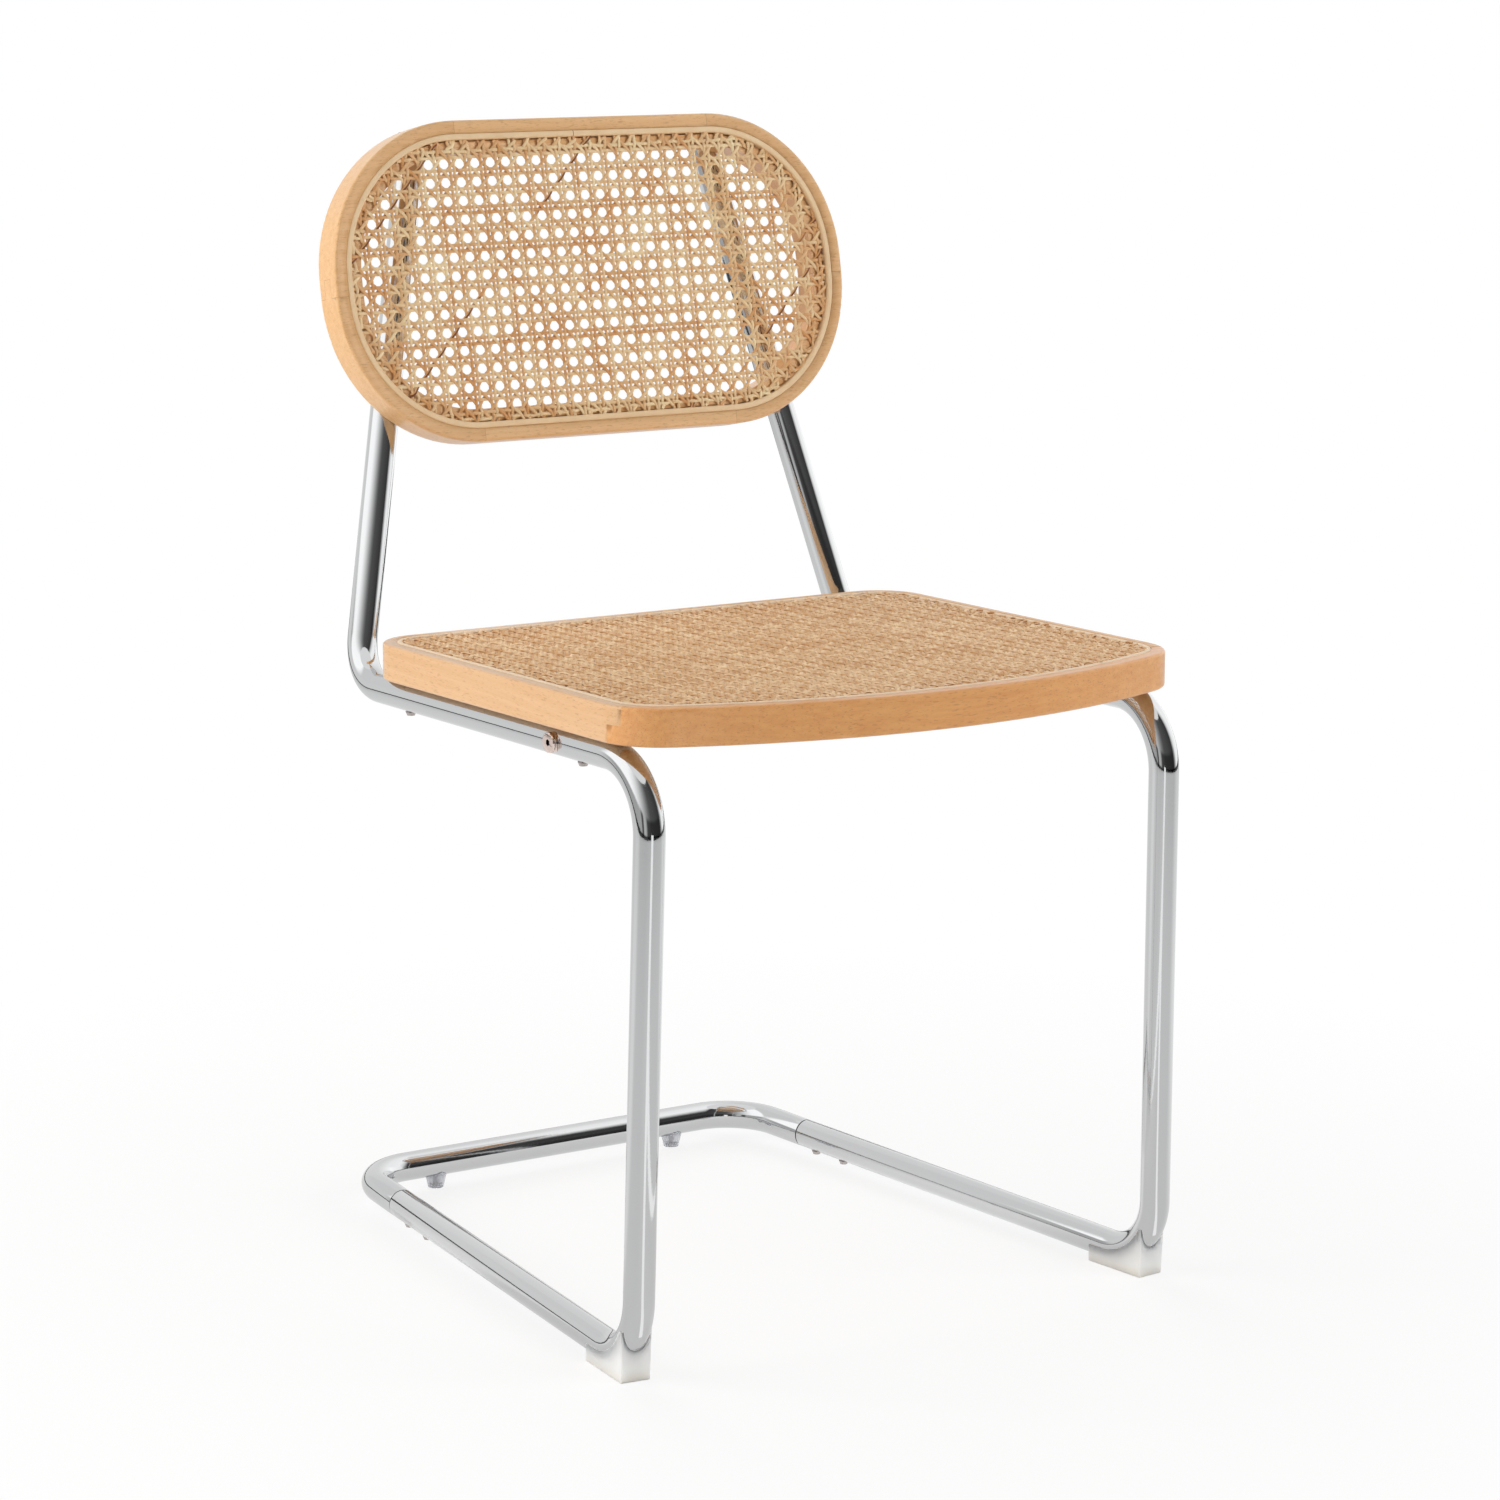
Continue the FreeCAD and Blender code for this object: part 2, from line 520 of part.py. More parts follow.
def draw_seat_outline(sketch, inset="0", front_corner="Sizes.seat_front_corner - ({inset})",
                      rear_corner="Sizes.seat_rear_corner - ({inset})"):
    """The seat's outline drawn in by an inset: bowed front, straight sides and rear, round corners."""
    width, reach = f"Sizes.seat_half_width - ({inset})", f"Sizes.seat_rear_reach - ({inset})"
    bow = f"Sizes.seat_front_radius - ({inset})"
    bow_centre = "Sizes.seat_front_radius - Sizes.seat_front_reach"
    front_corner, rear_corner = front_corner.format(inset=inset), rear_corner.format(inset=inset)
    x, y, big, cy, rf, rr = (value(sketch, text) for text in
                             (width, reach, bow, bow_centre, front_corner, rear_corner))
    first = sketch.GeometryCount
    swing = math.degrees(math.asin((x - rf) / (big - rf)))
    corner_y = cy - (big - rf) * math.cos(math.radians(swing))
    add_arc(sketch, (0, cy), big, 270 - swing, 270 + swing)
    add_arc(sketch, (x - rf, corner_y), rf, swing - 90, 0)
    add_line(sketch, (x, corner_y), (x, y - rr))
    add_arc(sketch, (x - rr, y - rr), rr, 0, 90)
    add_line(sketch, (x - rr, y), (rr - x, y))
    add_arc(sketch, (rr - x, y - rr), rr, 90, 180)
    add_line(sketch, (-x, y - rr), (-x, corner_y))
    add_arc(sketch, (rf - x, corner_y), rf, 180, 270 - swing)
    join(sketch, first, 8)
    constrain(sketch, "Vertical", first + 2)
    constrain(sketch, "Horizontal", first + 4)
    constrain(sketch, "Vertical", first + 6)
    constrain(sketch, "PointOnObject", first, 3, -2)
    constrain(sketch, "DistanceY", -1, 1, first, 3, by=bow_centre)
    constrain(sketch, "Radius", first, by=bow)
    constrain(sketch, "Equal", first + 1, first + 7)
    constrain(sketch, "Radius", first + 1, by=front_corner)
    constrain(sketch, "Equal", first + 3, first + 5)
    constrain(sketch, "Radius", first + 3, by=rear_corner)
    sides_at(sketch, (first + 2, width), (first + 6, width), (first + 4, reach), None)


LEDGE_INSET = "Sizes.band_width + Sizes.groove_width"
FOLD_OUTSIDE = "Sizes.band_width + 2 * Sizes.groove_gap + Sizes.spline_width"
FOLD_INSIDE = "Sizes.band_width + 2 * Sizes.groove_gap + Sizes.spline_width + Sizes.cane_edge"


def frame_blank(name, draw, draw_opening, thickness, recess):
    """A whole wooden ring before it is divided into its rails, its underside on the XY plane."""
    ring = doc.addObject("PartDesign::Body", name)
    outline = body_sketch(ring, name + "_outline")
    draw(outline)
    slab = pad(ring, name + "_slab", outline, thickness)
    round_edges(ring, name + "_eased", slab, lambda box: box.ZLength < 0.01, "Sizes.edge_round")
    for step, insets, depth in (("ledge", (LEDGE_INSET,), recess),
                                ("groove", ("Sizes.band_width", LEDGE_INSET), "Sizes.groove_depth")):
        sketch = body_sketch(ring, f"{name}_{step}_sketch", AttachmentOffset__Base__z=thickness)
        for inset in insets:
            draw(sketch, inset)
        pocket(ring, f"{name}_{step}", sketch, depth)
    sketch = body_sketch(ring, name + "_opening_sketch", AttachmentOffset__Base__z=thickness)
    draw_opening(sketch)
    pocket(ring, name + "_opening", sketch)
    return ring


def zone(name, *spans):
    """A box from three (low, high) pairs of expressions, for dividing a frame into rails."""
    (x0, x1), (y0, y1), (z0, z1) = spans
    return bind(doc.addObject("Part::Box", name), Length=f"({x1}) - ({x0})", Width=f"({y1}) - ({y0})",
                Height=f"({z1}) - ({z0})", Placement__Base__x=x0, Placement__Base__y=y0,
                Placement__Base__z=z0)


def common(name, base, tool):
    result = doc.addObject("Part::Common", name)
    result.Base, result.Tool = base, tool
    return result


def placed(piece, placement):
    piece.Placement = placement
    return piece


def loose_sketch(name, draw, insets, height):
    """A sketch of one outline or two, lying at a height above the frame's underside."""
    sketch = bind(doc.addObject("Sketcher::SketchObject", name), Placement__Base__z=height)
    for inset in insets:
        draw(sketch, inset)
    return sketch


def raised(name, base, height):
    """A flat shape pushed up into a solid."""
    solid = doc.addObject("Part::Extrusion", name)
    solid.Base = base
    solid.DirMode = "Custom"
    solid.Dir = Z_AXIS
    solid.Solid = True
    solid.FaceMakerClass = "Part::FaceMakerBullseye"
    return bind(solid, LengthFwd=height)


def spline(name, draw, thickness):
    """The reed spline: a ring pressed into the groove, its top edges rounded over."""
    reed = doc.addObject("PartDesign::Body", name)
    ring = body_sketch(reed, name + "_ring", AttachmentOffset__Base__z=f"{thickness} - Sizes.spline_drop")
    draw(ring, "Sizes.band_width + Sizes.groove_gap")
    draw(ring, "Sizes.band_width + Sizes.groove_gap + Sizes.spline_width")
    bar = pad(reed, name + "_bar", ring, "Sizes.spline_drop + Sizes.spline_proud")
    top = bar.Shape.BoundBox.ZMax
    round_edges(reed, name + "_rounded", bar, lambda box: box.ZMin > top - 0.01, "Sizes.spline_round")
    return reed


def caned_panel(name, draw, opening, thickness, recess, pitch, gap):
    """Open cane as one flat net with six-sided gaps, its edge folded down into the groove."""
    base = f"{thickness} - {recess}"
    outline = loose_sketch(name + "_outline", draw, [FOLD_OUTSIDE], base)
    opening_edge = doc.addObject("Sketcher::SketchObject", name + "_opening")
    opening(opening_edge)
    doc.recompute()
    inside = Part.Face(opening_edge.Shape.Wires[0])
    step, corner_reach = size(pitch), size(gap) / math.sqrt(3)
    bounds = inside.BoundBox
    middle_y = (bounds.YMin + bounds.YMax) / 2
    columns = int(bounds.XLength / step / 2) + 1
    rows = int(bounds.YLength / step / 2) + 1
    gaps = []
    for column in range(-columns, columns + 1):
        for row in range(-rows, rows + 1):
            centre = FreeCAD.Vector(column * step, middle_y + row * step, 0)
            corners = [centre + FreeCAD.Vector(math.cos(turn), math.sin(turn), 0) * corner_reach
                       for turn in (math.radians(60 * side + 30) for side in range(6))]
            if all(inside.isInside(corner, 0.01, True) for corner in corners):
                gaps.append(Part.makePolygon(corners + corners[:1]))
    for gap_wire in gaps:
        gap_wire.translate(Z_AXIS * value(outline, base))
    net = doc.addObject("Part::Feature", name + "_net")
    net.Shape = Part.makeFace(outline.Shape.Wires + gaps, "Part::FaceMakerBullseye")
    print(f"{name}: {len(gaps)} gaps")
    sheet_of_cane = raised(name + "_sheet", net, "Sizes.cane_thickness")
    fold = loose_sketch(name + "_fold", draw, [FOLD_OUTSIDE, FOLD_INSIDE],
                        f"{thickness} - Sizes.cane_edge_reach")
    edge = raised(name + "_edge", fold, f"Sizes.cane_edge_reach - {recess}")
    return fuse(name, sheet_of_cane, edge)


# Seat frame: four beech rails lap-jointed at the corners, on top of the seat rails
def draw_seat_opening(sketch):
    draw_seat_outline(sketch, "Sizes.seat_rail_width", "Sizes.seat_opening_corner",
                      "Sizes.seat_opening_corner")


seat_turn = FreeCAD.Rotation(X_AXIS, -size("seat_slope"))
seat_place = FreeCAD.Placement(FreeCAD.Vector(0, leg_top.y, leg_top.z)
                               + rail_normal * (tube_radius + size("seat_gap")), seat_turn)
seat_blank = frame_blank("seat_blank", draw_seat_outline, draw_seat_opening, "Sizes.seat_thickness",
                         "Sizes.seat_cane_recess")
across_seat = ("-Sizes.seat_half_width", "Sizes.seat_half_width")
lower_half, upper_half = ("0", "Sizes.seat_thickness / 2"), ("Sizes.seat_thickness / 2", "Sizes.seat_thickness")
front_edge, rear_edge = "-Sizes.seat_front_reach", "Sizes.seat_rear_reach"
front_zone = fuse("seat_front_zone",
                  zone("front_lower", across_seat, (front_edge, "Sizes.seat_front_joint + Sizes.seat_lap"),
                       lower_half),
                  zone("front_upper", across_seat, (front_edge, "Sizes.seat_front_joint"), upper_half))
rear_band = ("Sizes.seat_rear_reach - Sizes.seat_rail_width - Sizes.seat_lap", rear_edge)
rear_zone = fuse("seat_rear_zone",
                 zone("rear_lower", ("-Sizes.seat_rear_joint - Sizes.seat_lap",
                                     "Sizes.seat_rear_joint + Sizes.seat_lap"), rear_band, lower_half),
                 zone("rear_upper", ("-Sizes.seat_rear_joint", "Sizes.seat_rear_joint"), rear_band,
                      upper_half))
finish(placed(common("front_rail", seat_blank, front_zone), seat_place), "seat_front_rail")
finish(placed(common("rear_rail", seat_blank, rear_zone), seat_place), "seat_rear_rail")
left_half = zone("seat_left_half", ("-Sizes.seat_half_width", "0"), (front_edge, rear_edge),
                 ("0", "Sizes.seat_thickness"))
side_rail_raw = placed(common("side_rail_raw", cut("seat_sides", seat_blank, front_zone, rear_zone),
                              left_half), seat_place)
seat_pilots = [hole(f"seat_pilot_{i}", seat, rail_normal,
                    "Sizes.tube_diameter + Sizes.seat_gap + Sizes.seat_screw_bite + Sizes.fit_gap")
               for i, seat in enumerate(seat_screw_seats)]
side_rail = finish(cut("side_rail", side_rail_raw, *seat_pilots), "seat_side_rail_left")
finish(mirrored(side_rail, "side_rail_mirror"), "seat_side_rail_right")
finish(placed(spline("seat_reed", draw_seat_outline, "Sizes.seat_thickness"), seat_place), "seat_spline")
finish(placed(caned_panel("seat_net", draw_seat_outline, draw_seat_opening, "Sizes.seat_thickness",
                          "Sizes.seat_cane_recess", "seat_net_pitch", "seat_net_gap"), seat_place),
       "seat_cane")
both_sides("seat_screw_group",
           [screw(f"seat_screw_{i}", seat, rail_normal,
                  "Sizes.tube_diameter + Sizes.seat_gap + Sizes.seat_screw_bite")
            for i, seat in enumerate(seat_screw_seats)], "seat_screws")

# Stretcher: a tube that holds the two seat rails apart under the seat, bolted through them
cope_place = facing(stretcher_end - rail_along * size("tube_diameter"), rail_along)
cope = cylinder("stretcher_cope", "Sizes.tube_diameter / 2 + Sizes.fit_gap", "2 * Sizes.tube_diameter",
                cope_place)
stretcher_span = "2 * (Sizes.seat_half_width - Sizes.rail_inset)"
stretcher_rod = cylinder("stretcher_rod", "Sizes.stretcher_diameter / 2", stretcher_span,
                         facing(stretcher_end, X_AXIS))
stretcher_bore = cylinder("stretcher_bore", "Sizes.stretcher_diameter / 2 - Sizes.tube_wall",
                          stretcher_span, facing(stretcher_end, X_AXIS))
finish(cut("stretcher", cut("stretcher_shell", stretcher_rod, stretcher_bore), cope,
           mirrored(cope, "stretcher_cope_mirror")), "seat_stretcher")
insert_start = stretcher_end + X_AXIS * (tube_radius + 2 * size("fit_gap"))
insert_rod = cylinder("insert_rod", "Sizes.stretcher_diameter / 2 - Sizes.tube_wall - Sizes.hug_gap",
                      "Sizes.insert_length", facing(insert_start, X_AXIS))
insert_bore = hole("insert_bore", insert_start, X_AXIS, "Sizes.insert_length", "Sizes.bolt_diameter")
both_sides("inserts", [cut("insert", insert_rod, insert_bore)], "stretcher_inserts")
washer_seat = stretcher_end - X_AXIS * (tube_radius + size("saddle_rise"))
washer_rod = cylinder("washer_rod", "Sizes.bolt_head_diameter / 2", "Sizes.saddle_rise + Sizes.saddle_grip",
                      facing(washer_seat, X_AXIS))
washer_bore = hole("washer_bore", washer_seat, X_AXIS, "Sizes.saddle_rise + Sizes.saddle_grip",
                   "Sizes.bolt_diameter")
washer_hollow = cylinder("washer_hollow", "Sizes.tube_diameter / 2 + Sizes.hug_gap",
                         "2 * Sizes.tube_diameter", cope_place)
both_sides("washers", [cut("washer", cut("washer_saddle", washer_rod, washer_hollow), washer_bore)],
           "stretcher_washers")
both_sides("bolts", [screw("stretcher_bolt", washer_seat, X_AXIS,
                           "Sizes.saddle_rise + Sizes.tube_diameter + 2 * Sizes.fit_gap + Sizes.bolt_bite",
                           head="Sizes.bolt_head_diameter", rise="Sizes.bolt_head_height",
                           shank="Sizes.bolt_diameter", socket="Sizes.bolt_socket_size", head_tip=0.96)],
           "stretcher_bolts")


# Backrest: two beech rails finger-jointed at the middle of the round ends, in front of the uprights
def draw_back_opening(sketch):
    draw_back_outline(sketch, "Sizes.back_rail_width")


back_turn = FreeCAD.Rotation(X_AXIS, 90 - size("upright_lean"))
back_place = FreeCAD.Placement(FreeCAD.Vector(0, rail_rear.y, rail_rear.z)
                               + lean_up * size("back_centre_up")
                               + back_normal * (tube_radius + size("seat_gap")), back_turn)
back_blank = frame_blank("back_blank", draw_back_outline, draw_back_opening, "Sizes.back_thickness",
                        "Sizes.back_cane_recess")
across_back = (f"-{BACK_HALF_LENGTH}", BACK_HALF_LENGTH)
upper_zone = cut("back_upper_zone",
                 zone("back_upper_half", across_back, ("-Sizes.back_finger / 2", "Sizes.back_half_height"),
                      ("0", "Sizes.back_thickness")),
                 zone("back_finger_slot", across_back, ("-Sizes.back_finger / 2", "Sizes.back_finger / 2"),
                      ("Sizes.back_thickness / 3", "2 * Sizes.back_thickness / 3")))
upper_raw = placed(common("back_upper_raw", back_blank, upper_zone), back_place)
lower_raw = placed(cut("back_lower_raw", back_blank, upper_zone), back_place)
for label, raw, seat in (("backrest_lower_rail", lower_raw, back_screw_seats[0]),
                         ("backrest_upper_rail", upper_raw, back_screw_seats[1])):
    pilot = hole(label + "_pilot", seat, back_normal,
                 "Sizes.tube_diameter + Sizes.seat_gap + Sizes.back_screw_bite + Sizes.fit_gap")
    finish(cut(label + "_drilled", raw, pilot, mirrored(pilot, label + "_pilot_mirror")), label)
finish(placed(spline("back_reed", draw_back_outline, "Sizes.back_thickness"), back_place),
       "backrest_spline")
finish(placed(caned_panel("back_net", draw_back_outline, draw_back_opening, "Sizes.back_thickness",
                          "Sizes.back_cane_recess", "back_net_pitch", "back_net_gap"), back_place),
       "backrest_cane")
both_sides("back_screw_group",
           [screw(f"back_screw_{i}", seat, back_normal,
                  "Sizes.tube_diameter + Sizes.seat_gap + Sizes.back_screw_bite")
            for i, seat in enumerate(back_screw_seats)], "backrest_screws")

# End plugs: a rounded cap on each upright, held by a spigot inside the tube
cap = cylinder("plug_cap", "Sizes.tube_diameter / 2", "Sizes.plug_cap", facing(upright_end, upright_along))
spigot = cylinder("plug_spigot", sleeve_radius, "Sizes.plug_spigot",
                  facing(upright_end, upright_along * -1))
plug_blank = fuse("plug_blank", cap, spigot)
doc.recompute()
plug = doc.addObject("Part::Fillet", "plug")
plug.Base = plug_blank
plug_top = upright_end + upright_along * size("plug_cap")
plug.Edges = [(i + 1, size("plug_round"), size("plug_round"))
              for i, edge in enumerate(plug_blank.Shape.Edges)
              if edge.CenterOfMass.distanceToPoint(plug_top) < 0.01]
finish(plug, "upright_plug_left")
finish(mirrored(plug, "plug_mirror"), "upright_plug_right")

doc.recompute()
for item in doc.Objects:
    if "Invalid" in item.State or "Error" in item.State:
        raise RuntimeError(f"{item.Name} failed: {item.State}")
for piece in finished:
    if piece.Shape.isNull() or not piece.Shape.isValid() or not piece.Shape.Solids:
        raise RuntimeError(f"{piece.Label} is not a valid solid")

os.makedirs("parts", exist_ok=True)
for piece in finished:
    piece.Shape.exportStep(f"parts/{piece.Label}.step")
    print(f"{piece.Label}: {len(piece.Shape.Solids)} solid(s), {piece.Shape.Volume / 1000:.2f} cm3")
whole = Part.makeCompound([piece.Shape for piece in finished]).optimalBoundingBox(False)
print(f"x {whole.XMin:.2f} to {whole.XMax:.2f}, y {whole.YMin:.2f} to {whole.YMax:.2f}, "
      f"z {whole.ZMin:.2f} to {whole.ZMax:.2f}")
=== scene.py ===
import math

import bmesh
import bpy
from mathutils import Matrix, Vector


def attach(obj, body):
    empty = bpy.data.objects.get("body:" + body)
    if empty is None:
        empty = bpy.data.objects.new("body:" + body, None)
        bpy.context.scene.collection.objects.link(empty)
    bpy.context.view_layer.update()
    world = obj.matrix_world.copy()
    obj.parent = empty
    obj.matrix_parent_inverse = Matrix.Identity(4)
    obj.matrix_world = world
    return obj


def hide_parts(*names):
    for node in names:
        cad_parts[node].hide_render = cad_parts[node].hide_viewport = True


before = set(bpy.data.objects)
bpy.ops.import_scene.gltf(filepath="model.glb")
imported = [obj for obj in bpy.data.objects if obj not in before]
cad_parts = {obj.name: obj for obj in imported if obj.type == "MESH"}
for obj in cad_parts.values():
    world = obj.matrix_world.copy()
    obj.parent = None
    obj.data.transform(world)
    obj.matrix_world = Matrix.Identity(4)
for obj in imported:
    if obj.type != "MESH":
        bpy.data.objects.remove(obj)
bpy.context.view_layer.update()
scene = bpy.context.scene


# Camera: a long lens, in front and to the left of the chair and a little above its backrest. It
# looks slightly down and is tilted by less than a degree.
CAMERA_PLACE = Vector((-1.8666, -2.7617, 1.0536))
CAMERA_TURN, CAMERA_DOWN, CAMERA_ROLL = math.radians(34.21), math.radians(11.54), math.radians(0.83)
CAMERA_LENS, CAMERA_SHIFT, CAMERA_RANGE = 111.25, (-0.0007, 0.0069), 60


def new_object(name, data):
    """A mesh, lamp or camera as an object of the scene, at the origin."""
    piece = bpy.data.objects.new(name, data)
    scene.collection.objects.link(piece)
    return piece


camera = new_object("camera", bpy.data.cameras.new("camera"))
scene.camera = camera
ahead = Vector((math.sin(CAMERA_TURN) * math.cos(CAMERA_DOWN),
                math.cos(CAMERA_TURN) * math.cos(CAMERA_DOWN), -math.sin(CAMERA_DOWN)))
level_right = Vector((math.cos(CAMERA_TURN), -math.sin(CAMERA_TURN), 0))
right = level_right * math.cos(CAMERA_ROLL) + level_right.cross(ahead) * math.sin(CAMERA_ROLL)
camera.matrix_world = Matrix.LocRotScale(
    CAMERA_PLACE, Matrix((right, right.cross(ahead), -ahead)).transposed(), None)
camera.data.lens, camera.data.clip_end = CAMERA_LENS, CAMERA_RANGE
camera.data.shift_x, camera.data.shift_y = CAMERA_SHIFT


# Floor and lamps: a white sweep with a faint shadow, a broad lamp on the left, one in front on
# the right, and weaker ones behind and near the floor. A ring of studio wall, which only shiny
# surfaces mirror, is bright on the left and black on the right, with a dark gap above the floor.
MM = 0.001
LAMPS = (("key_lamp", (-2.9, 1.1, 1.8), 2.2, 66, (1.0, 0.985, 0.96)),
         ("fill_lamp", (2.4, -3.2, 2.2), 2.6, 84, (0.98, 0.99, 1.0)),
         ("rear_lamp", (0.8, 3.6, 2.0), 2.4, 60, (1.0, 1.0, 1.0)),
         ("bounce_lamp", (-1.7, -0.3, 0.06), 1.4, 9, (1.0, 0.97, 0.93)))
LAMP_AIM, WORLD_LIGHT = Vector((0, 0, 0.45)), 0.33
FLOOR_HALF, FLOOR_DROP = 12.0, 0.1 * MM
FLOOR_TONE, FLOOR_WHITE = 0.8, 0.95
FLOOR_SHADOW, SHADOW_NEAR, SHADOW_FAR = 0.2, 0.35, 0.95
MIRROR_NEAR, MIRROR_FAR, MIRROR_FAR_SHARE = 1.2, 2.6, 0.82
WALL_RADIUS, WALL_HEIGHT, WALL_SIDES, WALL_SPLIT = 3.0, 5.2, 48, (0.95, 1.2)
WALL_GAP, WALL_GAP_FADE, WALL_GAP_LEVEL = 0.16, 0.02, 0.06
STRIP_FOOT, STRIP_WIDTH, STRIP_HEIGHT, STRIP_POWER = Vector((-0.46, -1.35, 0)), 0.3, 0.33, 1.2
STREAK_START, STREAK_TAPER, STREAK_LIFT = Vector((0.225, -0.24, 0)), 0.1, Vector((0, 0, 1 * MM))
# Grey levels of the wall and of the mirrored floor, each at a bearing: 0 is the front, -90 the left
WALL_LOW = [(-180, 0.87), (-140, 0.87), (-130, 0.5), (-80, 0.5), (-74, 0.1), (-68, 0.08), (-62, 0.62),
            (-52, 0.55), (-42, 0.08), (-20, 0.04), (44, 0.03), (56, 0.45), (66, 1.2), (110, 1.4), (150, 0.9)]
WALL_HIGH = [(-180, 0.85), (-142, 0.85), (-134, 1.45), (-100, 1.4), (-88, 1.2), (-74, 0.92), (-60, 0.64),
             (-47, 0.42), (-33, 0.22), (-19, 0.11), (46, 0.05), (60, 0.9), (75, 1.3), (120, 1.2), (150, 0.9)]
FLOOR_MIRRORED = [(-180, 0.84), (-140, 0.85), (-130, 0.96), (-108, 0.96), (-92, 0.76), (-50, 0.75),
                  (-30, 0.8), (0, 0.76), (45, 0.76), (70, 1.0), (120, 1.0), (150, 0.85)]


def place(tree, kind, feeds=None, **settings):
    """Add a node, set its properties, and feed its inputs from values or from other sockets."""
    node = tree.nodes.new(kind)
    for name, value in settings.items():
        setattr(node, name, value)
    for socket, value in (feeds or {}).items():
        if isinstance(value, bpy.types.NodeSocket):
            tree.links.new(value, node.inputs[socket])
        else:
            node.inputs[socket].default_value = value
    return node


def number(tree, operation, *values):
    """One step of arithmetic on numbers or sockets."""
    return place(tree, "ShaderNodeMath", dict(enumerate(values)), operation=operation).outputs[0]


def vector(tree, operation, *values, **feeds):
    """One step of arithmetic on vectors or sockets. A length or a dot product is a number."""
    node = place(tree, "ShaderNodeVectorMath", {**dict(enumerate(values)), **feeds}, operation=operation)
    return node.outputs["Value" if operation in ("LENGTH", "DOT_PRODUCT") else "Vector"]


def fade(tree, value, start=0.0, end=1.0, low=0.0, high=1.0):
    """A number that goes from low to high while the value goes from start to end."""
    return place(tree, "ShaderNodeMapRange", {"Value": value, "From Min": start, "From Max": end,
                                              "To Min": low, "To Max": high}).outputs[0]


def mix(tree, share, first, second):
    """A colour that goes from the first to the second as the share goes from 0 to 1."""
    return place(tree, "ShaderNodeMix", {"Factor": share, "A": first, "B": second},
                 data_type="RGBA").outputs["Result"]


def grey(level):
    """A grey as the shader's own numbers."""
    return level, level, level, 1


def ramp(tree, share, stops):
    """Grey levels at bearings in degrees, with straight fades between them."""
    node = place(tree, "ShaderNodeValToRGB", {"Fac": share})
    band = node.color_ramp
    while len(band.elements) < len(stops):
        band.elements.new(1.0)
    for element, (bearing, level) in zip(band.elements, stops):
        element.position, element.color = bearing / 360 + 0.5, grey(level)
    return node.outputs["Color"]


def here(tree):
    """Object coordinates: metres along the frame's axes."""
    return place(tree, "ShaderNodeTexCoord").outputs["Object"]


def axes(tree):
    """Object coordinates as three numbers."""
    return place(tree, "ShaderNodeSeparateXYZ", {0: here(tree)}).outputs


def turn_share(tree):
    """A number that goes from 0 to 1 as a point's bearing from the studio's middle turns from behind
    by the left to the front, right and back."""
    spot = axes(tree)
    bearing = number(tree, "ARCTAN2", spot["X"], number(tree, "MULTIPLY", spot["Y"], -1.0))
    return fade(tree, bearing, start=-math.pi, end=math.pi)


def seen_rays(tree):
    """The light path's outputs, and 1 for rays from the camera, off a mirror or through plastic."""
    ray = place(tree, "ShaderNodeLightPath").outputs
    seen = number(tree, "MAXIMUM", ray["Is Camera Ray"], ray["Is Glossy Ray"])
    return ray, number(tree, "MAXIMUM", seen, ray["Is Transmission Ray"])


def new_material(name):
    """An empty node material and its tree."""
    material = bpy.data.materials.new(name)
    material.use_nodes = True
    material.node_tree.nodes.clear()
    return material, material.node_tree


def surface(tree, shader, sockets):
    """Close a material with a shader that has these sockets."""
    node = place(tree, shader, sockets)
    place(tree, "ShaderNodeOutputMaterial", {"Surface": node.outputs[0]})


def studio_air():
    """Soft light from all round, which shows as pure white behind the chair."""
    world = bpy.data.worlds.new("studio_air")
    world.use_nodes = True
    tree = world.node_tree
    tree.nodes.clear()
    seen = seen_rays(tree)[1]
    soft = place(tree, "ShaderNodeBackground", {"Color": grey(1), "Strength": WORLD_LIGHT})
    white = place(tree, "ShaderNodeBackground", {"Color": grey(1)})
    both = place(tree, "ShaderNodeMixShader", {0: seen, 1: soft.outputs[0], 2: white.outputs[0]})
    place(tree, "ShaderNodeOutputWorld", {"Surface": both.outputs[0]})
    return world


def floor_paint():
    """Matt white that fades to pure white away from the chair and has its own levels in mirrors. It
    is clear from below, so that the chair can be looked at from there."""
    material, tree = new_material("floor_paint")
    ray, seen = seen_rays(tree)
    reach = vector(tree, "LENGTH", here(tree))
    matt = place(tree, "ShaderNodeBsdfDiffuse",
                 {"Color": mix(tree, seen, grey(FLOOR_TONE), grey(FLOOR_WHITE))})
    dimmed = fade(tree, reach, start=MIRROR_NEAR, end=MIRROR_FAR, low=1.0, high=MIRROR_FAR_SHARE)
    mirrored = mix(tree, dimmed, grey(0), ramp(tree, turn_share(tree), FLOOR_MIRRORED))
    glow = place(tree, "ShaderNodeEmission",
                 {"Color": mix(tree, ray["Is Glossy Ray"], grey(1), mirrored)})
    plain = fade(tree, reach, start=SHADOW_NEAR, end=SHADOW_FAR, low=1 - FLOOR_SHADOW)
    lit = place(tree, "ShaderNodeMixShader", {0: number(tree, "MULTIPLY", seen, plain),
                                              1: matt.outputs[0], 2: glow.outputs[0]})
    below = place(tree, "ShaderNodeNewGeometry").outputs["Backfacing"]
    clear = place(tree, "ShaderNodeBsdfTransparent")
    surface(tree, "ShaderNodeMixShader", {0: below, 1: lit.outputs[0], 2: clear.outputs[0]})
    return material


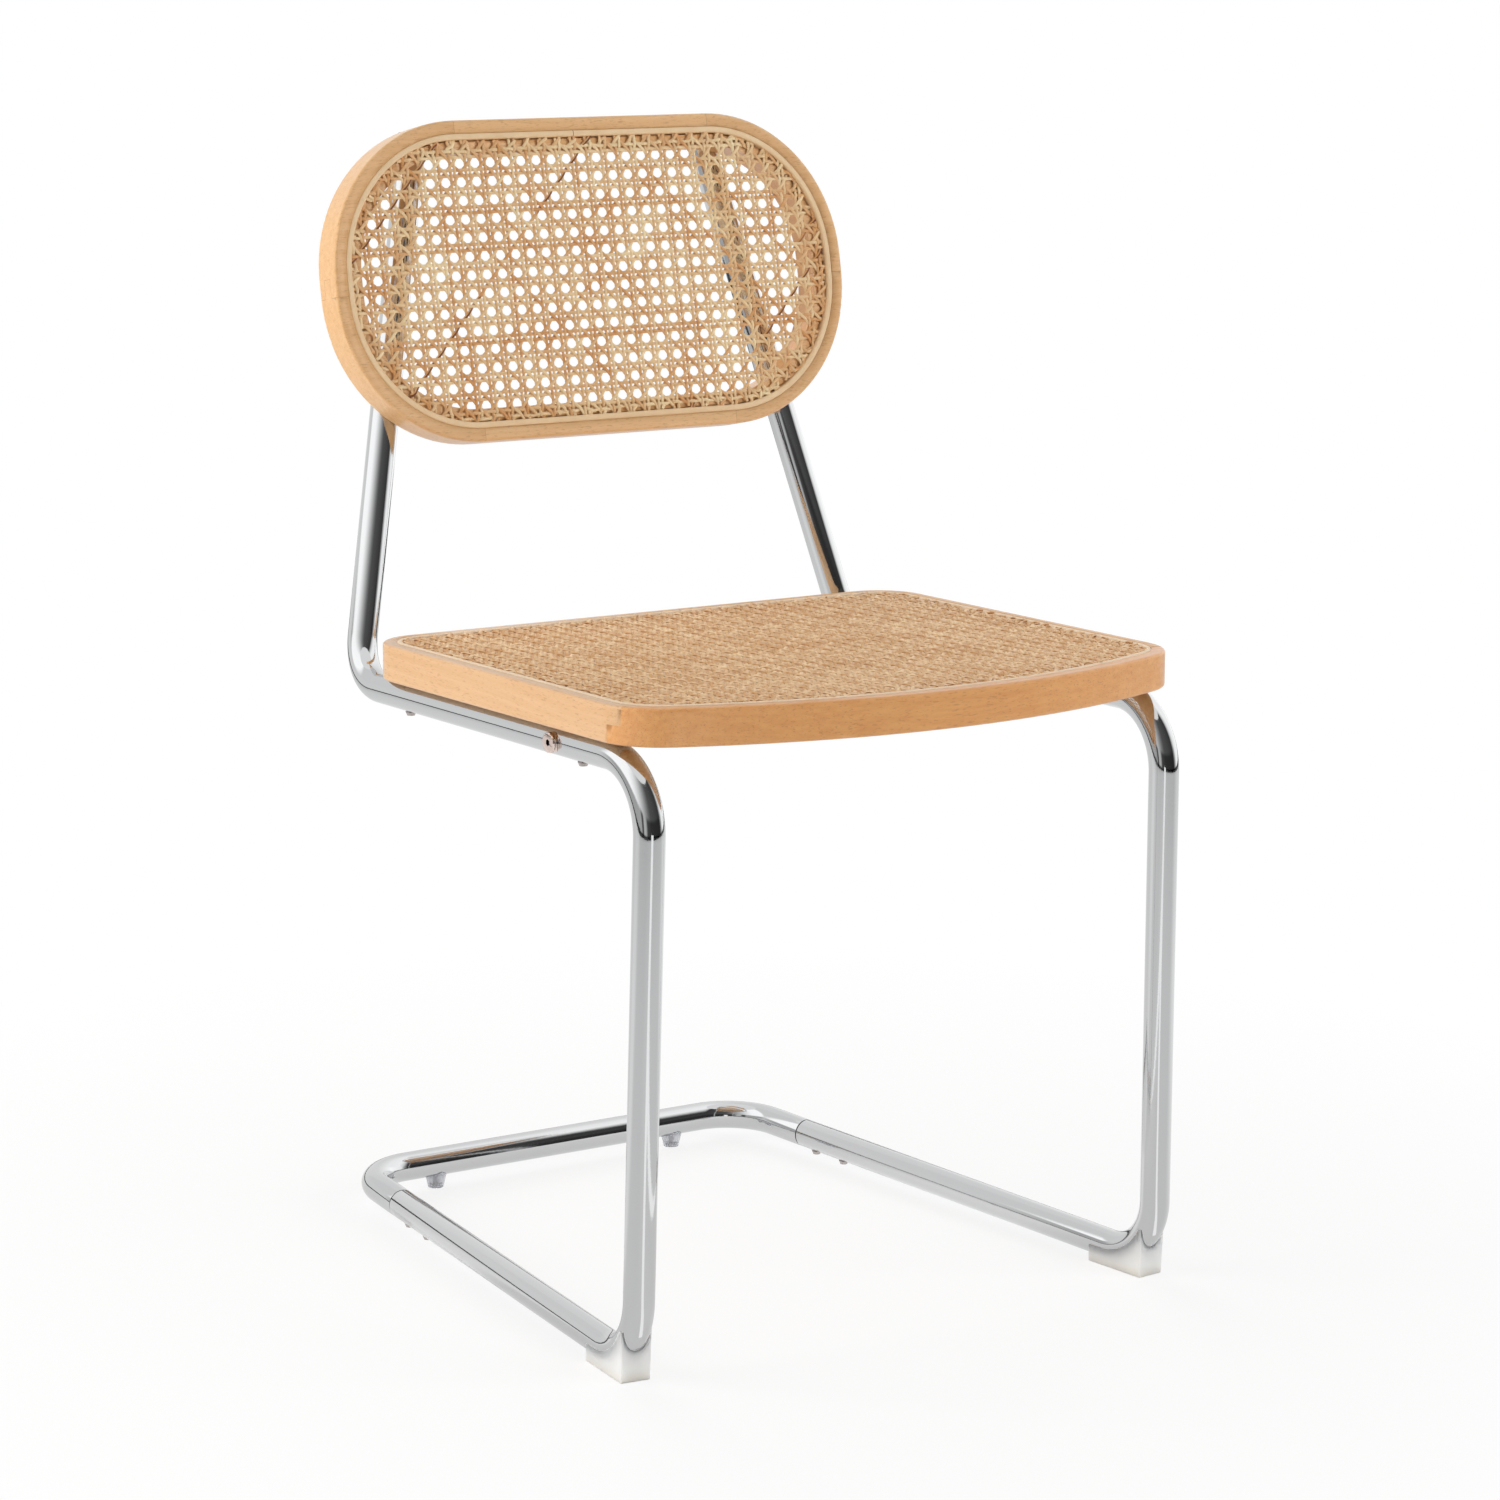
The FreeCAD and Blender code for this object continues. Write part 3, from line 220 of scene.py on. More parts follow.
def wall_paint():
    """Glowing greys by bearing, with one set of levels low down and one high up."""
    material, tree = new_material("wall_paint")
    height, share = axes(tree)["Z"], turn_share(tree)
    high = fade(tree, height, start=WALL_SPLIT[0], end=WALL_SPLIT[1])
    levels = mix(tree, high, ramp(tree, share, WALL_LOW), ramp(tree, share, WALL_HIGH))
    gap = fade(tree, height, start=WALL_GAP, end=WALL_GAP + WALL_GAP_FADE, low=WALL_GAP_LEVEL)
    surface(tree, "ShaderNodeEmission", {"Color": mix(tree, gap, grey(0), levels)})
    return material


def strip_paint():
    """A plain white glow."""
    material, tree = new_material("strip_paint")
    surface(tree, "ShaderNodeEmission", {"Strength": STRIP_POWER})
    return material


def lamp(name, spot, width, power, colour):
    """A square soft lamp that faces the middle of the chair and that nothing mirrors."""
    light = bpy.data.lights.new(name, "AREA")
    light.size, light.energy, light.color = width, power, colour
    holder = new_object(name, light)
    holder.location = spot
    holder.rotation_euler = (LAMP_AIM - Vector(spot)).to_track_quat("-Z", "Y").to_euler()
    holder.visible_camera = holder.visible_glossy = holder.visible_transmission = False


def studio_piece(name, mesh, material):
    """A piece of the studio, in one material."""
    mesh.materials.append(material)
    piece = new_object(name, mesh)
    return piece


def flat_card(name, corners, material):
    """A flat sheet of the studio through its four corners."""
    mesh = bpy.data.meshes.new(name)
    mesh.from_pydata([tuple(corner) for corner in corners], [], [(0, 1, 2, 3)])
    return studio_piece(name, mesh, material)


def as_mesh(name, form):
    """A finished bmesh as a mesh of its own."""
    mesh = bpy.data.meshes.new(name)
    form.to_mesh(mesh)
    form.free()
    return mesh


def mirrored_only(piece):
    """Leave a piece of the studio to shiny surfaces alone."""
    piece.visible_camera = piece.visible_diffuse = False
    piece.visible_transmission = piece.visible_shadow = False


for settings in LAMPS:
    lamp(*settings)
scene.world = studio_air()
flat_card("floor", [(x * FLOOR_HALF, y * FLOOR_HALF, -FLOOR_DROP)
                    for x, y in ((-1, -1), (1, -1), (1, 1), (-1, 1))], floor_paint())
ring = bmesh.new()
bmesh.ops.create_cone(ring, cap_ends=False, segments=WALL_SIDES, radius1=WALL_RADIUS,
                      radius2=WALL_RADIUS, depth=WALL_HEIGHT,
                      matrix=Matrix.Translation((0, 0, WALL_HEIGHT / 2)))
mirrored_only(studio_piece("wall", as_mesh("wall", ring), wall_paint()))

# A low bright strip before the chair, and two streaks that narrow towards the front feet
white_glow = strip_paint()
half_strip, strip_top = Vector((STRIP_WIDTH / 2, 0, 0)), Vector((0, 0, STRIP_HEIGHT))
strip_left, strip_right = STRIP_FOOT - half_strip, STRIP_FOOT + half_strip
mirrored_only(flat_card("strip", [strip_left, strip_right, strip_right + strip_top,
                                  strip_left + strip_top], white_glow))
for name, side in (("left_streak", -1), ("right_streak", 1)):
    start = Vector((side * STREAK_START.x, STREAK_START.y, 0)) + STREAK_LIFT
    mirrored_only(flat_card(name, [start, start + half_strip * STREAK_TAPER, strip_right + STREAK_LIFT,
                                   strip_left + STREAK_LIFT], white_glow))


# Tube frame: 22 mm chromed steel tube. One length on each side makes floor rail, leg, seat rail
# and upright, and a wide U closes the base. They meet at a hairline seam over a hidden sleeve.
TUBE_RADIUS = 11 * MM
LEG_LINE_Y = -221.2 * MM
FOOT_HALF_SPAN, RAIL_HALF_SPAN, BASE_CORNER_HALF_SPAN = 226 * MM, 220 * MM, 177.5 * MM
BASE_DEPTH, RAIL_RUN, UPRIGHT_LENGTH = 473.3 * MM, 397.3 * MM, 409 * MM
FOOT_HEIGHT, BASE_REAR_HEIGHT, RAIL_FRONT_HEIGHT = 13.2 * MM, 20 * MM, 431.3 * MM
SEAT_SLOPE, UPRIGHT_LEAN, UPRIGHT_CONVERGE = math.radians(1.1), math.radians(11.9), math.radians(13.1)
FOOT_BEND, SEAT_BEND, UPRIGHT_BEND, BASE_BEND = 45 * MM, 50 * MM, 42 * MM, 45 * MM
SEAM_FROM_CORNER, SEAM_GAP, END_CHAMFER = 81 * MM, 1.0 * MM, 0.45 * MM
TUBE_SIDES, BEND_STEPS, TUBE_CREASE = 64, 28, math.radians(40)

X_AXIS = Vector((1, 0, 0))
foot = Vector((-FOOT_HALF_SPAN, LEG_LINE_Y, FOOT_HEIGHT))
base_corner = Vector((-BASE_CORNER_HALF_SPAN, LEG_LINE_Y + BASE_DEPTH, BASE_REAR_HEIGHT))
leg_top = Vector((-RAIL_HALF_SPAN, LEG_LINE_Y, RAIL_FRONT_HEIGHT))
rail_along = Vector((0, math.cos(SEAT_SLOPE), -math.sin(SEAT_SLOPE)))
rail_normal = Vector((0, math.sin(SEAT_SLOPE), math.cos(SEAT_SLOPE)))
rail_rear = leg_top + rail_along * (RAIL_RUN / math.cos(SEAT_SLOPE))
lean_up = Vector((0, math.sin(UPRIGHT_LEAN), math.cos(UPRIGHT_LEAN)))
back_normal = Vector((0, -math.cos(UPRIGHT_LEAN), math.sin(UPRIGHT_LEAN)))
upright_along = X_AXIS * math.sin(UPRIGHT_CONVERGE) + lean_up * math.cos(UPRIGHT_CONVERGE)
upright_end = rail_rear + upright_along * UPRIGHT_LENGTH
floor_along = (base_corner - foot).normalized()
seam = base_corner - floor_along * SEAM_FROM_CORNER


def across(point):
    """The same point or direction on the other side of the chair."""
    return Vector((-point.x, point.y, point.z))


def new_tree(name, sizes):
    """A geometry tree with named inputs besides its geometry, and its input sockets."""
    tree = bpy.data.node_groups.new(name, "GeometryNodeTree")
    tree.interface.new_socket("Geometry", in_out="INPUT", socket_type="NodeSocketGeometry")
    tree.interface.new_socket("Geometry", in_out="OUTPUT", socket_type="NodeSocketGeometry")
    for label, kind in sizes:
        tree.interface.new_socket(label, in_out="INPUT", socket_type=kind)
    return tree, place(tree, "NodeGroupInput").outputs


def end_tree(tree, geometry, material):
    """Close a tree with real geometry in one material."""
    real = place(tree, "GeometryNodeRealizeInstances", {"Geometry": geometry})
    dressed = place(tree, "GeometryNodeSetMaterial", {"Geometry": real.outputs[0], "Material": material})
    place(tree, "NodeGroupOutput", {"Geometry": dressed.outputs[0]})


def plain_mesh(piece):
    """The piece's mesh with all its modifiers applied."""
    view = bpy.context.evaluated_depsgraph_get()
    return bpy.data.meshes.new_from_object(piece.evaluated_get(view), depsgraph=view)


def grow(piece, tree, **sizes):
    """Run a geometry tree on a piece once and keep the result as its plain mesh."""
    modifier = piece.modifiers.new(tree.name, "NODES")
    modifier.node_group = tree
    for item in tree.interface.items_tree:
        label = item.name.replace(" ", "_").lower()
        if item.in_out == "INPUT" and label in sizes:
            modifier[item.identifier] = sizes[label]
    result = plain_mesh(piece)
    piece.modifiers.remove(modifier)
    piece.data = result
    return piece


def noise(tree, where, scale, detail, **feeds):
    """Soft noise from 0 to 1."""
    return place(tree, "ShaderNodeTexNoise", {"Vector": where, "Scale": scale, "Detail": detail,
                                              **feeds}).outputs["Fac"]


def bump(tree, height, strength, distance):
    """Normals for a height that changes over the surface."""
    return place(tree, "ShaderNodeBump", {"Height": height, "Strength": strength,
                                          "Distance": distance}).outputs[0]


def bright_chrome():
    """Polished chrome with a faint haze and a very slight ripple."""
    material, tree = new_material("chrome")
    haze = noise(tree, here(tree), scale=34.0, detail=4.0)
    ripple = noise(tree, here(tree), scale=210.0, detail=2.0)
    surface(tree, "ShaderNodeBsdfPrincipled",
            {"Base Color": (0.645, 0.65, 0.655, 1), "Metallic": 1.0,
             "Roughness": fade(tree, haze, start=0.3, end=0.75, low=0.055, high=0.105),
             "Normal": bump(tree, ripple, strength=0.02, distance=1 * MM)})
    return material


def shaded_end_steel():
    """Bare steel of a tube's cut end, painted nearly black: painted shade for the narrow gap where two tube
    ends meet at a seam.
    """
    material, tree = new_material("cut_steel")
    saw_marks = noise(tree, here(tree), scale=1200.0, detail=2.0)
    surface(tree, "ShaderNodeBsdfPrincipled",
            {"Base Color": (0.03, 0.03, 0.033, 1), "Metallic": 0.3,
             "Roughness": fade(tree, saw_marks, low=0.45, high=0.7)})
    return material


def bent_tube(material):
    """A tree that rounds the inner corners of a line and sweeps a capped round tube along it."""
    tree, sizes = new_tree("bent_tube", [("Tube Radius", "NodeSocketFloat"), ("Tube Sides", "NodeSocketInt"),
                                         ("Bend Steps", "NodeSocketInt")])
    line = place(tree, "GeometryNodeMeshToCurve", {"Mesh": sizes["Geometry"]})
    radius = place(tree, "GeometryNodeInputNamedAttribute", {"Name": "bend"}, data_type="FLOAT")
    rounded = place(tree, "GeometryNodeFilletCurve",
                    {"Curve": line.outputs[0], "Count": sizes["Bend Steps"],
                     "Radius": radius.outputs["Attribute"]}, mode="POLY")
    section = place(tree, "GeometryNodeCurvePrimitiveCircle",
                    {"Resolution": sizes["Tube Sides"], "Radius": sizes["Tube Radius"]})
    wall = place(tree, "GeometryNodeCurveToMesh",
                 {"Curve": rounded.outputs[0], "Profile Curve": section.outputs[0], "Fill Caps": True})
    end_tree(tree, wall.outputs[0], material)
    return tree


def corner_line(name, corners, bends):
    """Straight edges through the tube's corners, each inner corner holding its bend radius."""
    mesh = bpy.data.meshes.new(name)
    mesh.from_pydata([tuple(corner) for corner in corners],
                     [(i, i + 1) for i in range(len(corners) - 1)], [])
    bend = mesh.attributes.new("bend", "FLOAT", "POINT")
    bend.data.foreach_set("value", [0.0, *bends, 0.0])
    return new_object(name, mesh)


def chamfer_shaded_ends(tube):
    """Chamfer the tube's two ends and give their end faces the nearly black steel, painted shade for the gap
    at the seam.
    """
    form = bmesh.new()
    form.from_mesh(tube.data)
    caps = [face for face in form.faces if len(face.verts) == TUBE_SIDES]
    rims = list({edge for face in caps for edge in face.edges})
    bmesh.ops.bevel(form, geom=rims, offset=END_CHAMFER, segments=2, profile=0.5, affect="EDGES")
    for face in form.faces:
        face.material_index = int(len(face.verts) == TUBE_SIDES)
    form.to_mesh(tube.data)
    form.free()
    tube.data.materials.append(cut_steel)


tube_tree, cut_steel = bent_tube(bright_chrome()), shaded_end_steel()
side_corners = [seam - floor_along * (SEAM_GAP / 2), foot, leg_top, rail_rear, upright_end]
side_bends = [FOOT_BEND, SEAT_BEND, UPRIGHT_BEND]
rear_corners = [seam + floor_along * (SEAM_GAP / 2), base_corner]
rear_corners += [across(corner) for corner in reversed(rear_corners)]
for name, node, corners, bends in (
        ("left_tube", "side_tube_left", side_corners, side_bends),
        ("right_tube", "side_tube_right", [across(corner) for corner in side_corners], side_bends),
        ("rear_tube", "rear_base_tube", rear_corners, [BASE_BEND, BASE_BEND])):
    tube = grow(corner_line(name, corners, bends), tube_tree,
                tube_radius=TUBE_RADIUS, tube_sides=TUBE_SIDES, bend_steps=BEND_STEPS)
    chamfer_shaded_ends(tube)
    tube.data.set_sharp_from_angle(angle=TUBE_CREASE)
    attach(tube, "root")
    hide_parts(node)


# Seat frame: four beech rails with lap joints at the corners, a bowed front and eased edges. It
# rests on the tube's seat rails, and two screws on each side hold it from below.
CREASE = math.radians(32)
MERGE = 0.002 * MM
FLECK_BROWN, FLECK_SHARE = (150, 92, 48), 0.3


def refined(name, node):
    """A merged, smoothly shaded copy of a CAD node, which stands for it."""
    form = bmesh.new()
    form.from_mesh(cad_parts[node].data)
    bmesh.ops.remove_doubles(form, verts=form.verts, dist=MERGE)
    for face in form.faces:
        face.smooth = True
        face.material_index = 0
    piece = new_object(name, as_mesh(name, form))
    piece.data.set_sharp_from_angle(angle=CREASE)
    piece.modifiers.new("even_normals", "WEIGHTED_NORMAL").keep_sharp = True
    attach(piece, "root")
    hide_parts(node)
    return piece


def srgb(red, green, blue):
    """A colour written as it shows on a screen, 0 to 255, as the shader's own numbers."""
    return tuple(((c / 255 + 0.055) / 1.055) ** 2.4 if c > 10 else c / 255 / 12.92
                 for c in (red, green, blue)) + (1.0,)


def stretched(tree, where, scale):
    """A place scaled by its own amount along each axis."""
    return place(tree, "ShaderNodeMapping", {"Vector": where, "Scale": scale}).outputs[0]


def wood_grain():
    """A shader group with the rings and the short dark ray flecks of beech, which run along X."""
    tree = bpy.data.node_groups.new("wood_grain", "ShaderNodeTree")
    for label, in_out, kind in (
            ("Along", "INPUT", "Vector"), ("Pale", "INPUT", "Color"), ("Deep", "INPUT", "Color"),
            ("Fleck", "INPUT", "Color"), ("Colour", "OUTPUT", "Color"),
            ("Roughness", "OUTPUT", "Float"), ("Height", "OUTPUT", "Float")):
        tree.interface.new_socket(label, in_out=in_out, socket_type="NodeSocket" + kind)
    ports = place(tree, "NodeGroupInput").outputs
    wander = place(tree, "ShaderNodeTexNoise", {"Vector": ports["Along"], "Scale": 4.0, "Detail": 2.0})
    drift = vector(tree, "MULTIPLY", wander.outputs["Color"], (0.0, 0.01, 0.01))
    bent = vector(tree, "ADD", ports["Along"], drift)
    rings = noise(tree, stretched(tree, bent, (3.0, 90.0, 90.0)), scale=3.0, detail=6.0, Roughness=0.62)
    rays = noise(tree, stretched(tree, bent, (190.0, 1400.0, 1100.0)), scale=1.0, detail=1.0)
    ray_mask = fade(tree, rays, start=0.58, end=0.72)
    tone = mix(tree, fade(tree, rings, start=0.3, end=0.72), ports["Pale"], ports["Deep"])
    flecked = mix(tree, number(tree, "MULTIPLY", ray_mask, FLECK_SHARE), tone, ports["Fleck"])
    place(tree, "NodeGroupOutput", {"Colour": flecked, "Roughness": fade(tree, rings, low=0.3, high=0.46),
                                    "Height": number(tree, "SUBTRACT", 1.0, ray_mask)})
    return tree


def beech(name, turn, centre, pale, deep, joints=None):
    """Lacquered beech whose grain runs along X before the given turn about Z. Joints is a function
    that gives how dark the wood is at a point and how far its board's grain is shifted."""
    material, tree = new_material(name)
    along = place(tree, "ShaderNodeMapping", {"Vector": here(tree), "Location": centre,
                                              "Rotation": (0, 0, math.radians(turn))}).outputs[0]
    if joints:
        shade, shift = joints(tree, here(tree))
        along = vector(tree, "ADD", along, shift)
    wood = place(tree, "ShaderNodeGroup", node_tree=grain)
    tree.links.new(along, wood.inputs["Along"])
    for label, tint in (("Pale", pale), ("Deep", deep), ("Fleck", FLECK_BROWN)):
        wood.inputs[label].default_value = srgb(*tint)
    colour = wood.outputs["Colour"]
    if joints:
        colour = mix(tree, shade, colour, srgb(*FLECK_BROWN))
    surface(tree, "ShaderNodeBsdfPrincipled",
            {"Base Color": colour, "Roughness": wood.outputs["Roughness"],
             "Normal": bump(tree, wood.outputs["Height"], strength=0.12, distance=0.4 * MM),
             "Coat Weight": 0.45, "Coat Roughness": 0.22, "Specular IOR Level": 0.45})
    return material


grain = wood_grain()
# Each rail's tints are partly its board's own tone and partly painted light and shade: the side rails are
# paler, for the light falling on them, and the front rail darker and more orange, for the shade on its front
# face.
for name, node, turn, centre, pale, deep in (
        ("front_rail", "seat_front_rail", 0, (0.1, 0.3, 0.0), (236, 174, 108), (223, 154, 90)),
        ("rear_rail", "seat_rear_rail", 0, (0.7, 0.2, 0.1), (232, 186, 136), (218, 168, 116)),
        ("left_rail", "seat_side_rail_left", 90, (0.4, 0.1, 0.5), (233, 189, 141), (223, 175, 125)),
        ("right_rail", "seat_side_rail_right", 90, (0.9, 0.6, 0.2), (234, 188, 138), (222, 172, 120))):
    rail = refined(name, node)
    rail.data.materials.append(beech(f"beech_{name}", turn, centre, pale, deep))


# Backrest frame: two beech rails, finger-jointed at the ends into a racetrack. In each the curved
# ends are boards of their own, butted to the straight middle where the curve starts. It lies
# against the uprights, which are screwed to it from behind.
BACK_HALF_LENGTH, BACK_HALF_HEIGHT, BACK_CORNER = 224.6 * MM, 119.3 * MM, 112.6 * MM
BACK_THICKNESS, BACK_CENTRE_UP, FRAME_OFF_TUBE = 26 * MM, 286.5 * MM, 11.2 * MM
FINGER_REACH, FINGER_HALF_WIDTH, GLUE_HALF_WIDTH = 7 * MM, 4.3 * MM, 0.14 * MM
# The backrest's tints are lighter than the seat rails': partly the boards' own tone and partly painted light
# on the backrest's upturned front face.
BACK_PALE_LIT, BACK_DEEP_LIT = (244, 198, 144), (232, 182, 124)
GLUE_SHADE, END_BOARD_SHADE, END_BOARD_SHIFT = 0.55, 0.07, (0.4, 0.7, 0.2)
back_origin = (Vector((0, rail_rear.y, rail_rear.z)) + lean_up * BACK_CENTRE_UP
               + back_normal * FRAME_OFF_TUBE)


def back_joints(tree, where):
    """Dark glue lines at the finger and butt joints, and darker end boards with their own grain."""
    def from_plane(axis, offset):
        return number(tree, "SUBTRACT", vector(tree, "DOT_PRODUCT", where, tuple(axis)), offset)

    def near(value, target):
        gap = number(tree, "ABSOLUTE", number(tree, "SUBTRACT", value, target))
        return number(tree, "LESS_THAN", gap, GLUE_HALF_WIDTH)

    middle_layer = back_origin.dot(back_normal) + BACK_THICKNESS / 2
    off_centre = number(tree, "ABSOLUTE", from_plane(X_AXIS, 0.0))
    up = from_plane(lean_up, back_origin.dot(lean_up))
    off_layer = number(tree, "ABSOLUTE", from_plane(back_normal, middle_layer))
    in_finger = number(tree, "LESS_THAN", off_layer, FINGER_HALF_WIDTH)
    finger_end = number(tree, "MULTIPLY_ADD", in_finger, 2 * FINGER_REACH, -FINGER_REACH)
    beside = number(tree, "LESS_THAN", number(tree, "ABSOLUTE", up), FINGER_REACH)
    finger_side = number(tree, "MULTIPLY", near(off_layer, FINGER_HALF_WIDTH), beside)
    curve_start = BACK_HALF_LENGTH - BACK_CORNER
    glue = number(tree, "MAXIMUM", near(up, finger_end), finger_side)
    glue = number(tree, "MAXIMUM", glue, near(off_centre, curve_start))
    end_board = number(tree, "GREATER_THAN", off_centre, curve_start)
    shade = number(tree, "MULTIPLY_ADD", end_board, END_BOARD_SHADE,
                   number(tree, "MULTIPLY", glue, GLUE_SHADE))
    return shade, vector(tree, "SCALE", END_BOARD_SHIFT, Scale=end_board)


for name, node, centre in (("upper_back_rail", "backrest_upper_rail", (0.3, 0.8, 0.4)),
                           ("lower_back_rail", "backrest_lower_rail", (1.1, 0.5, 0.9))):
    rail = refined(name, node)
    rail.data.materials.append(beech(f"beech_{name}", 0, centre, BACK_PALE_LIT, BACK_DEEP_LIT, back_joints))


# Splines: round-topped reed, glued and pressed into the groove round each panel over the ends of
# the cane. Each is one length, whose ends meet in a butt at the back or at the top of its ring.
BUTT_HALF_WIDTH, BUTT_BROWN = 0.25 * MM, (120, 84, 52)


def reed(name, pale, deep, butt_x, side, middle):
    """Peeled reed with soft patches of tone. Its ends meet in a thin dark line at the given X, on
    the far side of the ring's middle along the axis named by side."""
    material, tree = new_material(name)
    spot = axes(tree)
    off_butt = number(tree, "ABSOLUTE", number(tree, "SUBTRACT", spot["X"], butt_x))
    meeting = number(tree, "MULTIPLY", number(tree, "LESS_THAN", off_butt, BUTT_HALF_WIDTH),
                     number(tree, "GREATER_THAN", spot[side], middle))
    tint = mix(tree, noise(tree, here(tree), scale=60.0, detail=4.0), srgb(*pale), srgb(*deep))
    surface(tree, "ShaderNodeBsdfPrincipled",
            {"Base Color": mix(tree, meeting, tint, srgb(*BUTT_BROWN)), "Roughness": 0.5})
    return material


# The seat reed's near-white tint is partly the reed's own pale colour and partly a painted highlight along
# its round top.
for name, node, butt, pale, deep in (
        ("seat_reed", "seat_spline", (30 * MM, "Y", 0.0), (250, 230, 202), (238, 208, 172)),
        ("back_reed", "backrest_spline", (-9.1 * MM, "Z", back_origin.z), (250, 224, 184), (234, 198, 152))):
    spline = refined(name, node)
    spline.data.materials.append(reed(f"reed_{name}", pale, deep, *butt))


# Cane: split rattan skin, woven in twos across and up with single slanting strands, which leaves
# eight-sided holes. It lies on a ledge of the frame and ends in the groove under the reed.
SEAT_HALF_WIDTH, SEAT_FRONT_REACH, SEAT_REAR_REACH = 236 * MM, 49.5 * MM, 360 * MM
SEAT_FRONT_RADIUS, SEAT_FRONT_CORNER, SEAT_REAR_CORNER = 521 * MM, 50 * MM, 38 * MM
SEAT_THICKNESS, ARC_STEPS = 26.8 * MM, 24
CANE_PITCH = Vector((13.32 * MM, 13.85 * MM))
TWIN_HALF_GAP = Vector((1.7 * MM, 2.1 * MM))
STRAND_WIDTH, SEAT_STRAND_THICKNESS, BACK_STRAND_THICKNESS = 2.4 * MM, 1.15 * MM, 0.95 * MM
STRAND_BULGE, STRAND_CREASE = 1.15, math.radians(70)
SEAT_CANE_DEPTH, BACK_CANE_DEPTH, STRAND_END = 1.0 * MM, 3.2 * MM, 13.4 * MM
RIM_REACH, RIM_STIR, STIR_SCALE, STIR_APART = 13 * MM, Vector((7, 7, 3.2)) * MM, 170.0, 70.0
STEPS_PER_CELL, STRAND_SIDES, OUTLINE_BELOW = 6, 6, 100 * MM
BACK_CANE_TURN, BACK_CANE_SHIFT = math.radians(0.6), (5.4 * MM, -1.5 * MM)
FIBRE_SHARE, MEAN_TONE, BARK_BROWN = 0.45, 0.65, (122, 72, 42)
BACK_CANE_LOOK = {"pale": (255, 234, 188), "deep": (220, 160, 100), "strand_share": 0.6,
                  "patch_scale": 38.0, "tone_range": 0.4}


def rattan(name, pale, deep, strand_share, patch_scale, tone_range, marked=False):
    """Split rattan skin with fibres along it, whose tone drifts over the panel and changes from
    strand to strand. Marked strands keep dark bark along one edge."""
    material, tree = new_material(name)
    strand_tone, side, length = (
        place(tree, "ShaderNodeAttribute", attribute_name=attribute).outputs["Fac"]
        for attribute in ("strand_tone", "strand_side", "strand_length"))
    along = place(tree, "ShaderNodeCombineXYZ", {"X": side, "Y": length, "Z": strand_tone}).outputs[0]
    fibres = noise(tree, stretched(tree, along, (5000.0, 160.0, 40.0)), scale=1.0, detail=2.0)
    # At a small patch scale the patches also stand in as painted light and shade on the weave.
    patches = noise(tree, here(tree), scale=patch_scale, detail=3.0)
    blend = number(tree, "MULTIPLY_ADD", strand_tone, strand_share, patches)
    blend = number(tree, "MULTIPLY_ADD", fibres, FIBRE_SHARE, blend)
    middle = MEAN_TONE + strand_share / 2
    tint = mix(tree, fade(tree, blend, start=middle - tone_range, end=middle + tone_range),
               srgb(*pale), srgb(*deep))
    if marked:
        run = place(tree, "ShaderNodeCombineXYZ", {"X": length, "Y": strand_tone}).outputs[0]
        bark = noise(tree, stretched(tree, run, (11.0, 900.0, 1.0)), scale=1.0, detail=1.0)
        mask = number(tree, "MULTIPLY", fade(tree, bark, start=0.44, end=0.47),
                      fade(tree, strand_tone, start=0.8, end=0.81))
        mask = number(tree, "MULTIPLY", mask, fade(tree, side, start=-0.4 * MM, end=-0.2 * MM))
        tint = mix(tree, mask, tint, srgb(*BARK_BROWN))
    surface(tree, "ShaderNodeBsdfPrincipled",
            {"Base Color": tint, "Roughness": 0.38, "Specular IOR Level": 0.5,
             "Normal": bump(tree, fibres, strength=0.15, distance=0.2 * MM)})
    return material


def stirred(tree, nearness, sizes, spot):
    """How far a point of a strand is out of its place, by noise of its own, close to the rim."""
    tone = place(tree, "GeometryNodeInputNamedAttribute", {"Name": "strand_tone"}, data_type="FLOAT")
    own = number(tree, "MULTIPLY", tone.outputs["Attribute"], STIR_APART)
    stir = place(tree, "ShaderNodeTexNoise", {"Vector": spot, "W": own, "Scale": STIR_SCALE,
                                              "Detail": 0.0}, noise_dimensions="4D").outputs["Color"]
    stir = vector(tree, "MULTIPLY", vector(tree, "SUBTRACT", stir, (0.5, 0.5, 0.3)), sizes["Rim Stir"])
    return vector(tree, "SCALE", stir, Scale=nearness)


